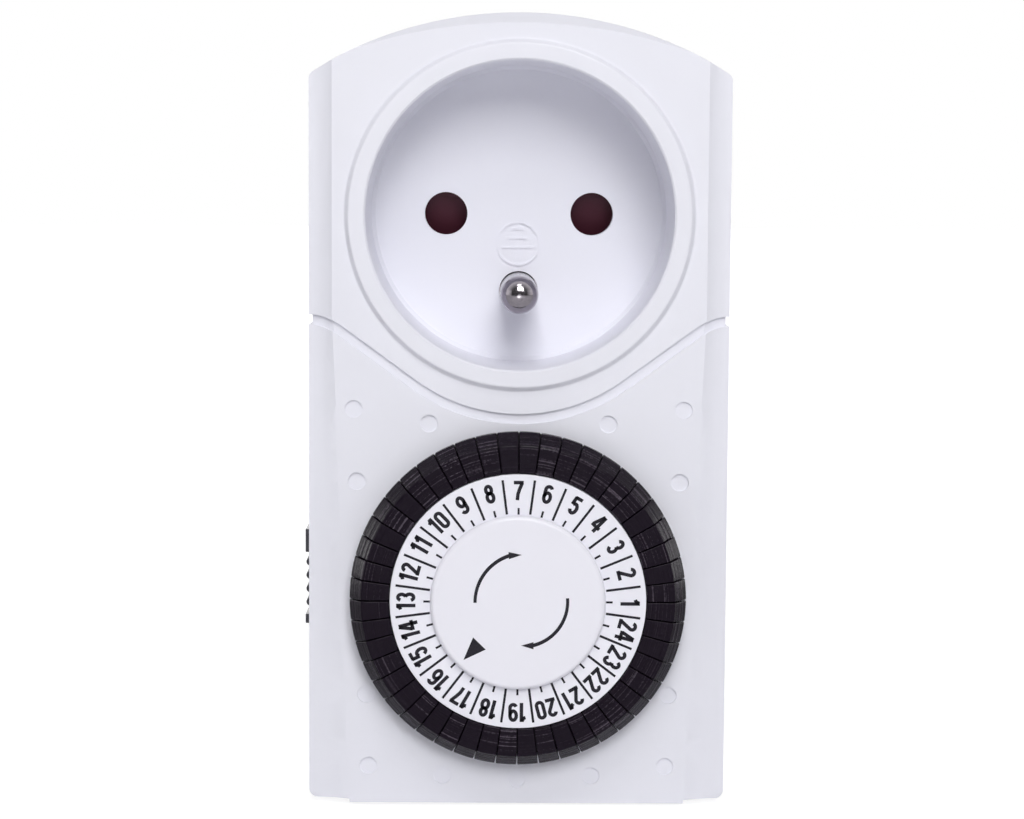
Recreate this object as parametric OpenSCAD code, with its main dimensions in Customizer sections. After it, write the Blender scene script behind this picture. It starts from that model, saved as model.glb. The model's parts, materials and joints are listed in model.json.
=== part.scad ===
// Plug-in mechanical timer switch: a 24-hour dial with 48 captive tappets switches
// a grounded socket, all in one body that plugs straight into the wall.
//
// Every piece is sketched facing the viewer, x to the right and y up from the line
// through the contact holes, and z towards the viewer from the face of the plug.
// stand() then turns the sketch upright, so that +Z is up and -Y is the front.

/* [Housing] */
// Width of the body
body_w = 53; // [52.5:0.5:56]
// From the hole line up to the crown of the arched top
top_h = 25.3; // [25:0.1:27]
// From the rear plane of the body to its front face
body_t = 31; // [31:0.5:34]
// Depth of the front covers' side walls
skirt = 17; // [16:0.5:18]
// Wall thickness of the covers
wall = 2; // [1.8:0.1:2.2]
// Radius of the arched top
arch_r = 49; // [46:0.5:60]
// Radius of the outline's corners
corner_r = 1; // [0.5:0.1:1.4]
// Width of the crescent bevel at the crown
bevel_w = 1.3; // [0.8:0.1:1.6]
// Radius of the bevel's inner edge
bevel_r = 66; // [62:1:75]
// Drop from the raised face to the side steps
step_h = 1.1; // [0.9:0.05:1.4]
// Width of each side step beside the socket
step_w = 2.95; // [2.5:0.05:3.2]
// Width of each side step at the bottom
step_w_low = 5.2; // [3.6:0.1:5.6]
// How much higher the side steps end than the face at the bottom
foot_step = 0.45; // [0.3:0.05:0.6]
// Radius of the side steps' lower corners
foot_r = 1.1; // [0.8:0.1:1.4]

/* [Seam between the covers] */
// Radius that levels the seam out at the body's sides
seam_end_r = 7.24; // [5:0.1:9]
// From the recess's rim down to the lowest point of the seam
seam_reach = 5.55; // [5.3:0.05:6]
// How much wider the seam's bowl is than the recess
seam_flare = 2.65; // [2.5:0.05:3.2]
// Slope of the seam's straight stretches
seam_slope = 36; // [34:0.5:38]
// Width of the shadow groove along the seam
seam_w = 1.25; // [0.8:0.05:1.4]
// Depth of the shadow groove
seam_d = 0.45; // [0.3:0.05:0.6]
// Gap between the two covers inside the groove
seam_gap = 0.04; // [0.02:0.01:0.2]

/* [Socket] */
// Distance between the two contact holes
pin_pitch = 19; // [18.6:0.1:19.4]
// From the hole line down to the earth pin
earth_drop = 10; // [9.6:0.1:10.4]
// Depth of the recess, from its rim
recess_h = 15; // [14:0.5:16]
// Radius of the recess at its rim
rim_r = 19.35; // [19.2:0.05:19.8]
// How much narrower the recess is at its floor
draft = 0.15; // [0.05:0.05:0.4]
// Thickness of the recess wall
well_wall = 1.7; // [1.4:0.1:1.8]
// Thickness of the recess floor
floor_t = 2; // [1.6:0.1:2.2]
// Height of the raised collar round the recess
collar_h = 0.8; // [0.5:0.1:1]
// Width of the collar's flat top
collar_w = 1.95; // [1.2:0.05:2.2]
// Width of the rounded slope outside the collar
collar_slope = 0.9; // [0.7:0.05:1.1]
// Radius of a contact hole
hole_r = 2.78; // [2.6:0.02:2.9]
// Radius of the earth pin's hole
earth_hole_r = 2.53; // [2.46:0.01:2.6]

/* [Pins and contacts] */
// Radius of every pin
pin_r = 2.4; // [2.3:0.05:2.4]
// Depth of the neck where a pin passes through its wall
pin_neck = 0.4; // [0.3:0.05:0.5]
// Depth of the dish round a plug pin
pin_dish = 0.4; // [0.3:0.05:0.6]
// Length of the plug pins beyond the face of the plug
plug_pin_len = 19; // [18:0.5:20]
// Length of the earth pin above the recess floor
earth_pin_len = 14; // [13:0.5:14.5]
// Radial clearance of the contact sleeves round a pin
sleeve_gap = 0.05; // [0.03:0.01:0.1]
// Wall of a contact sleeve
sleeve_t = 0.85; // [0.6:0.05:0.9]
// Thickness of the current bars
bar_t = 0.6; // [0.5:0.05:0.7]

/* [Plug boss] */
// Length of the boss behind the body
boss_len = 17; // [17:0.25:18]
// Radius of the boss
boss_r = 18.4; // [18.2:0.1:18.6]
// Radius of the space inside the boss
boss_bore = 15.2; // [15:0.1:15.4]
// Width of the earth strap
strap_w = 5; // [4:0.1:5.2]
// Thickness of the earth strap
strap_t = 0.8; // [0.6:0.05:0.9]

/* [Shutter] */
// Thickness of the shutter
shutter_t = 3.2; // [2.8:0.1:3.4]
// Half height of the shutter
shutter_h = 3.6; // [3.3:0.1:3.7]
// Travel of the shutter
shutter_travel = 6.6; // [6.4:0.1:6.8]

/* [Dial] */
// Outer radius of the ring of tappets
dial_r = 21.15; // [21:0.05:21.3]
// From the seam down to the dial's edge
dial_gap = 1.95; // [1.8:0.05:2.6]
// From the dial's edge down to the bottom edge of the body
dial_margin = 5.65; // [5.4:0.05:8]
// Width of the ring of tappets
pad_w = 4.98; // [4.7:0.02:5.1]
// Radius of the fixed centre cap
cap_r = 10.95; // [10.5:0.05:11.2]
// Number of hours on the dial
hours = 24; // [24:24]
// Gap between neighbouring tappets
tappet_gap = 0.14; // [0.1:0.01:0.2]
// Height of a tappet's head
tappet_h = 3; // [2.6:0.1:3.2]
// Distance from a tappet's leg to the dial's edge
leg_in = 2.15; // [2:0.05:2.3]
// Travel of a pressed tappet
tappet_travel = 1.8; // [1.5:0.1:1.9]
// Width of the chamfer round the tappets
tappet_chamfer = 1.55; // [1:0.05:1.8]
// Radius of the dial's spindle
spindle_r = 3; // [2.8:0.1:3.2]

/* [Gear train] */
// Radius of the fixed arbors
arbor_r = 0.4; // [0.35:0.01:0.42]
// Running clearance round arbors and spindle
run_gap = 0.05; // [0.03:0.01:0.08]
// Face width of a wheel
wheel_t = 0.8; // [0.6:0.05:0.9]
// Distance from one wheel to the next along the arbors
layer = 1; // [1:0.02:1.05]
// Teeth of the pinions
leaves = 8; // [8:8]
// Tooth module of the first two stages
fine_module = 0.25; // [0.25:0.005:0.255]
// Tooth module of the next two stages
train_module = 0.28; // [0.275:0.005:0.285]
// Tooth module of the clutch wheel
clutch_module = 0.26; // [0.255:0.005:0.265]
// Thickness of the dial's ring gear outside its teeth
ring_back = 1.65; // [1.6:0.01:1.8]

/* [Motor] */
// How much smaller the stator cup is than the dial
motor_in = 7.4; // [6.6:0.1:8]
// Depth of the stator cup
motor_h = 12.4; // [11.5:0.1:12.6]
// Width of the coil's winding, from its former out to the stator cup
coil_w = 4.53; // [4.43:0.05:4.93]
// Number of stator poles
poles = 12; // [8:2:14]

/* [Override slider] */
// Length of the slider's button
slider_len = 13.4; // [12:0.1:14]
// Travel of the slider
slider_travel = 3; // [2.5:0.1:3.2]
// Height of the slider's end blocks above the wall
slider_h = 0.8; // [0.6:0.05:1]
// From the dial's axis up to the slider's upper end
slider_rise = 7.3; // [6.6:0.1:7.8]

/* [Hidden] */
$fn = 96;
eps = 0.01;

function tappet_name(n) = str("tappets_", n < 10 ? "0" : "", n);

// Colours
shell_white = [0.91, 0.91, 0.94];
dial_white = [0.93, 0.93, 0.95];
tappet_black = [0.13, 0.12, 0.14];
slider_grey = [0.3, 0.3, 0.33];
shutter_maroon = [0.24, 0.09, 0.16];
steel = [0.75, 0.76, 0.78];
brass = [0.8, 0.65, 0.35];
copper = [0.72, 0.42, 0.25];
gear_ivory = [0.88, 0.86, 0.78];

// Heights above the face of the plug
z_rear = boss_len;
z_inside = z_rear + wall;
z_front = z_rear + body_t;
z_split = z_front - skirt;
z_step = z_front - step_h;
z_rim = z_front + collar_h;
z_floor = z_rim - recess_h;
z_under = z_floor - floor_t;
z_strap = 15;
slip = 0.15;

// The front, from the socket down: recess, seam, dial and bottom edge
floor_r = rim_r - draft;
seam_low = -rim_r - seam_reach;
seam_r = rim_r + seam_flare;
seam_y = seam_low + seam_r;
seam_side = seam_y + tan(seam_slope) * body_w / 2
    - (seam_r + seam_end_r * (1 - cos(seam_slope))) / cos(seam_slope);
dial = [0, seam_low - dial_gap - dial_r];
low_h = dial_r + dial_margin - dial[1];
ring_r = dial_r - pad_w - 0.12;

// The dial's stack, seen from the front face
tappet_lift = tappet_travel + 0.1;
z_head = z_front + tappet_lift;
z_crown = z_head + tappet_h;
z_deck = z_head - tappet_travel - 0.2;
deck_t = 1.8;
z_leg = z_deck - deck_t - 1.2;
ring_t = 1;
drum_t = 1.3;
z_ring = z_crown;
z_drum = z_ring - ring_t;
cap_t = 1;
z_cap = z_ring + 0.1;
opening_r = dial_r - 0.35;
deck_r = opening_r - 0.4;
guide_wall = 1.2;
drum_wall = 1.1;
half_hour = 360 / (2 * hours);

// The mechanism's stack, from the front plate back to the motor
plate_t = 1.2;
z_plate = z_front - 6;
z_gears = z_plate - plate_t;
gear_space = 6;
z_back = z_gears - gear_space;
z_motor = z_back - plate_t - 0.1;
z_cup = z_motor - motor_h - 0.9;
motor_r = dial_r - motor_in;
// The coil's play in the stator cup, and its former's wall with the rotor's gap
coil_out = 1.5;
coil_in = 1.92;
rotor_r = motor_r - coil_out - coil_w - coil_in;

// Screw posts: two beside the socket's crown, two below it, four round the dial
post_r = 2.2;
post_x = body_w / 2 - wall - post_r - 0.2;
posts = [for (side = [-1, 1],
        y = [top_h - 11.1, seam_side + 3.15, dial[1] + dial_r - 3.15, wall + post_r + 3.3 - low_h])
    [side * (post_x - (y > 0 ? 0.5 : 0)), y]];
screw_r = 0.9;
screw_head_r = 1.75;
screw_head_h = 1.6;
screw_sink = 4;
screw_bite = 9;
tube_r = 2.65;

// Pillars of the mechanism, inward of the posts
pillar_r = 1.5;
pillar_x = post_x - tube_r - pillar_r - 0.55;
pillars = [for (sx = [-1, 1], sy = [-1, 1]) [sx * pillar_x, dial[1] + sy * (dial_r - 3)]];

// The reduction train: each stage is [pinion leaves, wheel teeth, module]
stages = [
    [leaves, 64, fine_module],
    [leaves, 64, fine_module],
    [leaves, 60, train_module],
    [leaves, 60, train_module],
    [leaves + 1, 75, clutch_module]
];
ring_teeth = 96;
ring_module = 2 * (ring_r - ring_back) / ring_teeth;
// Direction from each arbor to the one before it, starting from the dial's axis
headings = [-30, 85.5, 154, 193.5, 255, 318];

function heading(a) = [cos(a), sin(a)];
function centre_distance(stage) = stage[2] * (stage[0] + stage[1]) / 2;
// The arbors, counted back from the clutch (5) to the rotor (0)
function arbor(i) =
    i == 5 ? dial + heading(headings[0]) * ring_module * (ring_teeth - leaves) / 2
           : arbor(i + 1) + heading(headings[5 - i]) * centre_distance(stages[i]);
// Angle that puts the gaps of wheel i round the leaves of the pinion before it
function wheel_phase(i) =
    let (to = headings[6 - i] + 180, stage = stages[i - 1])
    to + 180 + 360 / stage[1] * (to / (360 / stage[0]) - 0.5);

// The lever, read by the tappets at the time pointer
pointer_hour = 16;
pointer_angle = 90 + (pointer_hour - 7) * 360 / hours;
leg_r = [dial_r - leg_in - 1.6, dial_r - leg_in];
leg_w = 1.1;
nose = dial + heading(pointer_angle) * (leg_r[0] + leg_r[1]) / 2;
lever_axis_x = -(body_w / 2 - wall - 2.1);
z_lever = z_plate - 1;
lever_w = 3;
blade_x = [lever_axis_x + 1.9, lever_axis_x + 4.4];
blade_root = nose[1] + 14.8;
blade_t = 0.3;
z_blade = z_gears - 2.1;

// The override slider, in the left wall
slider_top = dial[1] + slider_rise;
slider_y = slider_top - slider_len / 2;
slider_z = z_split + 7;
slider_w = 5;
slider_plate = 0.3;
rib_r = 0.55;
neck_len = 6;
neck_w = 3;

// ---------------------------------------------------------------- helpers

// Turns a sketch upright: x stays, y becomes up, z becomes the front
module stand() rotate([90, 0, 0]) children();

// Extrudes a flat shape between two heights
module layer_of(z0, z1) translate([0, 0, z0]) linear_extrude(z1 - z0) children();

// A round rod at p between two heights
module rod(p, z0, z1, r) translate([p[0], p[1], z0]) cylinder(r = r, h = z1 - z0);

// A tube at p between two heights
module tube(p, z0, z1, r, bore) difference() {
    rod(p, z0, z1, r);
    rod(p, z0 - 1, z1 + 1, bore);
}

// A block between two corners
module block(from, to) translate(from) cube(to - from);

// Puts a copy on each side of the body
module both_sides() {
    children();
    mirror([1, 0, 0]) children();
}

// Points along an arc
function arc(c, r, a0, a1, n) =
    [for (i = [0 : n]) c + r * heading(a0 + (a1 - a0) * i / n)];

// ---------------------------------------------------------------- outlines

arch_y = top_h - arch_r;

// The body's outline with sharp corners, drawn in by g
module outline(g = 0) intersection() {
    translate([-body_w / 2 + g, -low_h + g]) square([body_w - 2 * g, low_h + top_h]);
    union() {
        translate([0, arch_y]) circle(arch_r - g, $fn = 240);
        translate([-body_w, -low_h]) square([2 * body_w, low_h]);
    }
}

// What rounds the outline's corners off. Their circles cross the arch by a hair, because
// curves that only touch leave a seam open
graze = 0.004;
module corner_cuts() both_sides() {
    bottom = [body_w / 2 - corner_r, -low_h + corner_r];
    shoulder = [body_w / 2 - corner_r,
        arch_y + sqrt(pow(arch_r - corner_r + graze, 2) - pow(body_w / 2 - corner_r, 2))];
    along = atan2(shoulder[1] - arch_y, shoulder[0]);
    difference() {
        translate([bottom[0], bottom[1] - corner_r - 1]) square(corner_r + 1);
        translate(bottom) circle(corner_r, $fn = 48);
    }
    difference() {
        polygon([
            shoulder + [corner_r, 0], shoulder + [corner_r + 1, 0],
            shoulder + [corner_r + 1, corner_r + 2],
            [0, arch_y] + (arch_r + 1) * heading(along), [0, arch_y] + arch_r * heading(along)
        ]);
        translate(shoulder) circle(corner_r, $fn = 48);
    }
}

module body_outline(g = 0) difference() {
    outline(g);
    corner_cuts();
}

// Everything above the seam, whose curve is moved out by d: a bowl under the socket,
// two straight slopes, and two arcs that bring it level at the sides
module above_seam(d = 0) {
    bowl = [0, seam_y];
    end = [body_w / 2, seam_side - seam_end_r];
    leave = bowl + (seam_r + d) * heading(seam_slope - 90);
    meet = end + (seam_end_r - d) * heading(90 + seam_slope);
    side = seam_side - d;
    difference() {
        union() {
            translate(bowl) circle(seam_r + d);
            polygon([bowl, leave, meet, [end[0], side], [end[0] + 5, side],
                [end[0] + 5, top_h + 5], [-end[0] - 5, top_h + 5], [-end[0] - 5, side],
                [-end[0], side], [-meet[0], meet[1]], [-leave[0], leave[1]]]);
        }
        both_sides() translate(end) circle(seam_end_r - d);
    }
}

// ---------------------------------------------------------------- front shell

function cove_r(w) = (w * w + step_h * step_h) / (2 * step_h);

// The hollow beside the socket, straight along the body's edge
module upper_cove() both_sides()
    translate([body_w / 2, -low_h, z_step + cove_r(step_w)])
        rotate([-90, 0, 0]) cylinder(r = cove_r(step_w), h = low_h + top_h + 5);

// The hollow beside the dial, which widens and softens towards the bottom
module lower_cove(g) {
    length = low_h + seam_side;
    lean = atan((cove_r(step_w_low) - cove_r(step_w)) / length);
    both_sides()
        translate([body_w / 2, seam_side, z_step + cove_r(step_w) * cos(lean)])
            rotate([90 - lean, 0, 0])
                translate([0, 0, -1])
                    cylinder(r1 = cove_r(step_w) - tan(lean) + g,
                        r2 = cove_r(step_w) + (length + 2) * tan(lean) + g, h = length + 3);
}

// The notch that ends each side step a little above the foot of the face
module foot_notch() layer_of(z_split - 1, z_front + 1) both_sides()
    translate([body_w / 2, foot_step - low_h]) {
        translate([-step_w_low, -foot_step - 1]) square([step_w_low + 1, foot_step + 1]);
        difference() {
            translate([-foot_r, -eps]) square([foot_r + 1, foot_r]);
            translate([-foot_r, foot_r]) circle(foot_r);
        }
    }

// The crescent bevel under the arched top
module crescent(g) translate([0, top_h - bevel_w - bevel_r, z_front - g])
    rotate_extrude($fn = 240) polygon([
        [bevel_r, 0], [bevel_r + 4, -4], [bevel_r + 4, 2], [bevel_r, 2]
    ]);

// The front of the body as a solid block, drawn in by g
module front_block(g = 0) difference() {
    layer_of(z_split, z_front - g) body_outline(g);
    crescent(g);
}

// The raised collar, wall and floor of the socket's recess
module well() {
    crest = rim_r + collar_w;
    foot = crest + collar_slope;
    bend = min(collar_h, collar_slope) / 2;
    rotate_extrude($fn = 144) polygon(concat(
        [[0, z_under], [floor_r + well_wall, z_under], [floor_r + well_wall, z_front - 1.6]],
        arc([foot, z_front + bend], bend, 270, 180 + 45, 3),
        arc([crest, z_rim - bend], bend, 45, 90, 3),
        [[rim_r + 0.25, z_rim], [rim_r, z_rim - 0.25], [floor_r, z_floor + 0.5],
            [floor_r - 0.5, z_floor], [0, z_floor]]
    ));
}

// ---------------------------------------------------------------- covers

module socket_cover() color(shell_white) stand() difference() {
    union() {
        difference() {
            intersection() {
                front_block(0);
                layer_of(z_split - 1, z_front + 1) above_seam(0);
            }
            upper_cove();
            layer_of(z_split - 1, z_step - wall) intersection() {
                outline(wall);
                above_seam(-wall);
            }
            layer_of(z_split - 1, z_front - wall) intersection() {
                outline(wall + step_w + 0.4);
                above_seam(-wall);
            }
            rod([0, 0], z_split - 1, z_rim, floor_r + well_wall / 2);
        }
        well();
        for (p = posts) if (p[1] > seam_side) rod(p, z_split, z_step - wall + 0.5, post_r);
    }
    for (side = [-1, 1]) rod([side * pin_pitch / 2, 0], z_under - 1, z_floor + 1, hole_r);
    rod([0, -earth_drop], z_under - 1, z_floor + 1, earth_hole_r);
    for (p = posts) if (p[1] > seam_side) rod(p, z_split - 1, z_split + screw_bite + 1, screw_r + run_gap);
}

// Places of the shallow round dimples on the dial cover, mirrored to both sides
dimples = [
    [body_w / 2 - 5.7, seam_low + 0.55], [body_w / 2 - 15.2, seam_low - 1.25],
    [body_w / 2 - 6.1, dial[1] + 14.5], [body_w / 2 - 7.3, dial[1] - 12.8],
    [body_w / 2 - 7.6, 4.8 - low_h], [body_w / 2 - 17.05, 3.55 - low_h]
];
dimple_r = 1.1;
dimple_d = 0.3;

module dial_cover() color(shell_white) stand() difference() {
    union() {
        difference() {
            union() {
                difference() {
                    front_block(0);
                    layer_of(z_split - 1, z_front + 1) above_seam(seam_w);
                    lower_cove(0);
                }
                difference() {
                    front_block(seam_d);
                    layer_of(z_split - 1, z_front + 1) above_seam(seam_gap);
                    lower_cove(seam_d);
                }
            }
            layer_of(z_split - 1, z_step - wall) difference() {
                outline(wall);
                above_seam(seam_gap + wall);
            }
            layer_of(z_split - 1, z_front - wall) difference() {
                face_inside();
                above_seam(seam_gap + wall);
            }
        }
        rod(dial, z_front - wall - 2.5, z_front - wall / 2, opening_r + guide_wall);
        for (p = posts) if (p[1] < seam_side) rod(p, z_split, z_step - wall + 0.5, post_r);
        for (p = pillars) rod(p, z_plate, z_front - wall + 0.5, pillar_r + 0.4);
    }
    foot_notch();
    rod(dial, z_split - 1, z_front + 1, opening_r);
    both_sides() for (p = dimples) rod(p, z_front - dimple_d, z_front + 1, dimple_r);
    rod([0, 3.1 - low_h], z_front - dimple_d, z_front + 1, dimple_r);
    for (p = posts) if (p[1] < seam_side) rod(p, z_split - 1, z_split + screw_bite + 1, screw_r + run_gap);
    for (p = pillars) rod(p, z_plate - 1, z_plate + 2.4, screw_r + run_gap);
    block([-body_w / 2 - 1, slider_y - slider_travel - neck_len / 2 - 0.3, slider_z - neck_w / 2 - slip],
        [-body_w / 2 + wall + 1, slider_y + neck_len / 2 + 0.3, slider_z + neck_w / 2 + slip]);
}

// The space behind the raised face, which narrows with the side steps
module face_inside() polygon([
    [-(body_w / 2 - wall - step_w - 0.4), seam_side + 10], [body_w / 2 - wall - step_w - 0.4, seam_side + 10],
    [body_w / 2 - wall - step_w_low, wall - low_h], [-(body_w / 2 - wall - step_w_low), wall - low_h]
]);

module rear_cover() color(shell_white) stand() difference() {
    union() {
        difference() {
            layer_of(z_rear, z_split) body_outline(0);
            layer_of(z_inside, z_split + 1) outline(wall);
        }
        rod([0, 0], 0, z_rear + eps, boss_r);
        for (p = posts) rod(p, z_rear, z_split, tube_r);
    }
    rod([0, 0], wall, z_inside + 1, boss_bore);
    for (p = posts) {
        rod(p, z_rear - 1, z_split + 1, screw_r + 0.25);
        rod(p, z_rear - 1, z_rear + screw_sink, screw_head_r + 0.2);
    }
    // Each plug pin stands in a shallow dish, its neck in the wall behind
    for (side = [-1, 1]) {
        rod([side * pin_pitch / 2, 0], -1, wall + 1, pin_r - pin_neck + 0.02);
        rod([side * pin_pitch / 2, 0], -1, pin_dish, pin_r + 0.1);
    }
    rod([0, -earth_drop], -1, wall + 1, pin_r + 0.5);
    // Grooves for a socket's guide ribs
    both_sides() block([boss_bore + 1.7, -2.75, -1], [boss_r + 1, 2.75, z_rear - eps]);
    // Seats and slots of the earth strap
    for (up = [0, 1]) mirror([0, up, 0]) {
        block([-strap_w / 2 - slip, boss_bore + 1.7, 0.9], [strap_w / 2 + slip, boss_r + 1, z_rear - 1]);
        block([-strap_w / 2 - slip, boss_bore - 2, z_strap - slip],
            [strap_w / 2 + slip, boss_r + 1, z_rear - 1]);
    }
}

module cover_screws() color(steel) stand() for (p = posts) {
    rod(p, z_rear + screw_sink - screw_head_h, z_rear + screw_sink, screw_head_r);
    rod(p, z_rear + screw_sink - 0.1, z_split + screw_bite, screw_r);
}

// ---------------------------------------------------------------- socket parts

z_shutter = z_under - slip - shutter_t;
z_carrier = z_shutter - slip;
carrier_t = 2.6;
shutter_w = pin_pitch + 2 * hole_r + 2.6;
guide_top = shutter_h + shutter_travel + 3.2;
carrier_w = shutter_w + 2.4;
carrier_rim = 0.6;
carrier_h = 2 * (guide_top + carrier_rim);
spring_r = 1.2;
spring_wire = 0.2;

// Lays a sketch of heights over y on its edge, centred on x and w wide
module profile(w) rotate([90, 0, 90]) translate([0, 0, -w / 2]) linear_extrude(w) children();

module shutter() color(shutter_maroon) stand() difference() {
    layer_of(z_shutter, z_shutter + shutter_t) square([shutter_w, 2 * shutter_h], center = true);
    // Ramps: a plug's pins slide down them and push the shutter up, out of the way
    for (side = [-1, 1]) translate([side * pin_pitch / 2, 0, z_shutter])
        profile(2 * hole_r + 0.8) polygon([
            [-shutter_h - 1, 0.4], [-shutter_h + 0.2, 0.4], [pin_r - 0.3, shutter_t],
            [pin_r - 0.3, shutter_t + 1], [-shutter_h - 1, shutter_t + 1]
        ]);
}

// A coil spring along +z, swept round its axis
module coil_spring(length, turns, r, wire) {
    steps = 16;
    sides = 6;
    last = turns * steps;
    points = [for (i = [0 : last], j = [0 : sides - 1])
        let (a = 360 * i / steps, b = 360 * j / sides, reach = r + wire * cos(b))
        [reach * cos(a), reach * sin(a), wire + (length - 2 * wire) * i / last + wire * sin(b)]];
    polyhedron(points, concat(
        [[for (j = [0 : sides - 1]) j]],
        [for (i = [0 : last - 1], j = [0 : sides - 1])
            let (a = i * sides, k = (j + 1) % sides)
            [a + j, a + sides + j, a + sides + k, a + k]],
        [[for (j = [sides - 1 : -1 : 0]) last * sides + j]]
    ));
}

module shutter_spring() color(steel) stand()
    translate([0, shutter_h + 0.05, z_shutter + shutter_t / 2]) rotate([-90, 0, 0])
        coil_spring(guide_top - shutter_h - 0.1, 9, spring_r, spring_wire);

module contact_carrier() color(gear_ivory) stand() difference() {
    union() {
        layer_of(z_carrier - carrier_t, z_carrier) square([carrier_w, carrier_h], center = true);
        for (sx = [-1, 1], sy = [-1, 1])
            rod([sx * (carrier_w / 2 - 1.8), sy * (carrier_h / 2 - 2.6)], z_inside, z_carrier, 1.5);
        // Guides beside the shutter and the seat of its spring
        both_sides() block([shutter_w / 2 + slip, -shutter_h, z_carrier - eps],
            [shutter_w / 2 + 1.2, guide_top, z_under - 0.02]);
        block([-4, guide_top, z_carrier - eps], [4, guide_top + 1, z_under - 0.02]);
    }
    for (side = [-1, 1])
        rod([side * pin_pitch / 2, 0], z_carrier - 4, z_carrier + 1, pin_r + sleeve_gap + sleeve_t + slip);
    rod([0, -earth_drop], z_carrier - 4, z_carrier + 1, 1.7);
}

z_sleeve = z_floor - plug_pin_len - 0.2;

module contact_sleeves() color(brass) stand() for (side = [-1, 1]) {
    p = [side * pin_pitch / 2, 0];
    difference() {
        union() {
            rod(p, z_sleeve - sleeve_t, z_carrier - 0.1, pin_r + sleeve_gap + sleeve_t);
            // Rivet through the bar
            rod(p, z_sleeve_lug - 0.3, z_sleeve, 0.78);
        }
        rod(p, z_sleeve, z_carrier, pin_r + sleeve_gap);
        block([p[0] - 0.4, p[1], z_sleeve + 3], [p[0] + 0.4, p[1] + 5, z_carrier]);
    }
}

// Profile of a round-nosed pin of length h above its wall, with a flange of radius
// flange_r and a neck that reaches down below - 0.02 through the wall
function pin_profile(below, h, flange_r, flange_t, nose_r, steps) = concat(
    [[0, -below - flange_t], [flange_r, -below - flange_t], [flange_r, -below - 0.02],
        [pin_r - pin_neck, -below - 0.02], [pin_r - pin_neck, 0.05], [pin_r, 0.05]],
    arc([pin_r - nose_r, h - nose_r], nose_r, 0, 90, steps), [[0, h]]);

module plug_pins() color(steel) stand() for (side = [-1, 1])
    translate([side * pin_pitch / 2, 0, 0]) {
        mirror([0, 0, 1]) rotate_extrude()
            polygon(pin_profile(wall, plug_pin_len, pin_r + 0.8, 1.2, pin_r - 0.6, 6));
        rod([0, 0], wall + 1, z_lug + bar_t + 0.6, 1.5);
    }

module front_earth_pin() color(steel) stand() translate([0, -earth_drop, 0]) {
    translate([0, 0, z_floor]) rotate_extrude()
        polygon(pin_profile(floor_t, earth_pin_len, 3.4, z_under - z_carrier - 0.02, pin_r - 0.3, 10));
    rod([0, 0], z_strap - 1.2, z_carrier + 0.1, 1.5);
}

module earth_bridge() color(steel) stand() difference() {
    union() {
        block([-strap_w / 2, -boss_bore - 2.3, z_strap], [strap_w / 2, boss_bore + 2.3, z_strap + strap_t]);
        for (up = [0, 1]) mirror([0, up, 0])
            profile(strap_w) polygon([
                [boss_bore + 1.85, z_strap + strap_t], [boss_bore + 1.85 + strap_t, z_strap + strap_t],
                [boss_bore + 2.3 + strap_t, 9], [boss_bore + 1.9 + strap_t, 1.4],
                [boss_bore + 1.9, 1.4], [boss_bore + 2.3, 9], [boss_bore + 1.85, z_strap - 0.6]
            ]);
    }
    rod([0, -earth_drop], z_strap - 1, z_strap + 2, 1.52);
}

module rear_earth_sleeve() color(brass) stand() difference() {
    rod([0, -earth_drop], wall + 0.05, z_strap - 0.02, pin_r + sleeve_gap + sleeve_t - 0.1);
    rod([0, -earth_drop], wall - 1, z_strap - 1.3, pin_r + sleeve_gap);
    rod([0, -earth_drop], 0, z_strap + 1, 1.52);
    block([-0.4, -earth_drop - 5, wall - 1], [0.4, -earth_drop, z_strap - 4]);
}

// ---------------------------------------------------------------- current bars

// The pins' bars lie on their flanges; the sleeves' bars lie under their bases
z_lug = wall + 1.22;
z_sleeve_lug = z_sleeve - sleeve_t - bar_t - 0.02;
lug_r = 3;
bar_w = 3;
bar_in = boss_bore - 1.3 - bar_t;
bar_side = bar_in + 2.2;
bar_edge = post_x - tube_r - 0.3;
contact_gap = 0.62;
contact_h = 0.45;
contact_r = 0.9;
contact_y = nose[1] + 0.6;

// A flat lug round a pin or a sleeve's rivet at p, with an arm out to the side
module lug(p, z, bore) difference() {
    union() {
        rod(p, z, z + bar_t, lug_r);
        block([-bar_in - bar_t, p[1] - bar_w / 2, z], [p[0], p[1] + bar_w / 2, z + bar_t]);
    }
    rod(p, z - 1, z + 1, bore);
}

// From a lug up the inside of the boss, out over its edge, and down the side on edge
module side_run(z_from, low) {
    block([-bar_in - bar_t, -bar_w / 2, z_from], [-bar_in, bar_w / 2, z_inside + 4.6]);
    block([-bar_side - bar_t, -bar_w / 2, z_inside + 4.6 - bar_t], [-bar_in, bar_w / 2, z_inside + 4.6]);
    block([-bar_side - bar_t, low, z_inside + 4], [-bar_side, bar_w / 2, z_inside + 4 + bar_w]);
}

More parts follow.
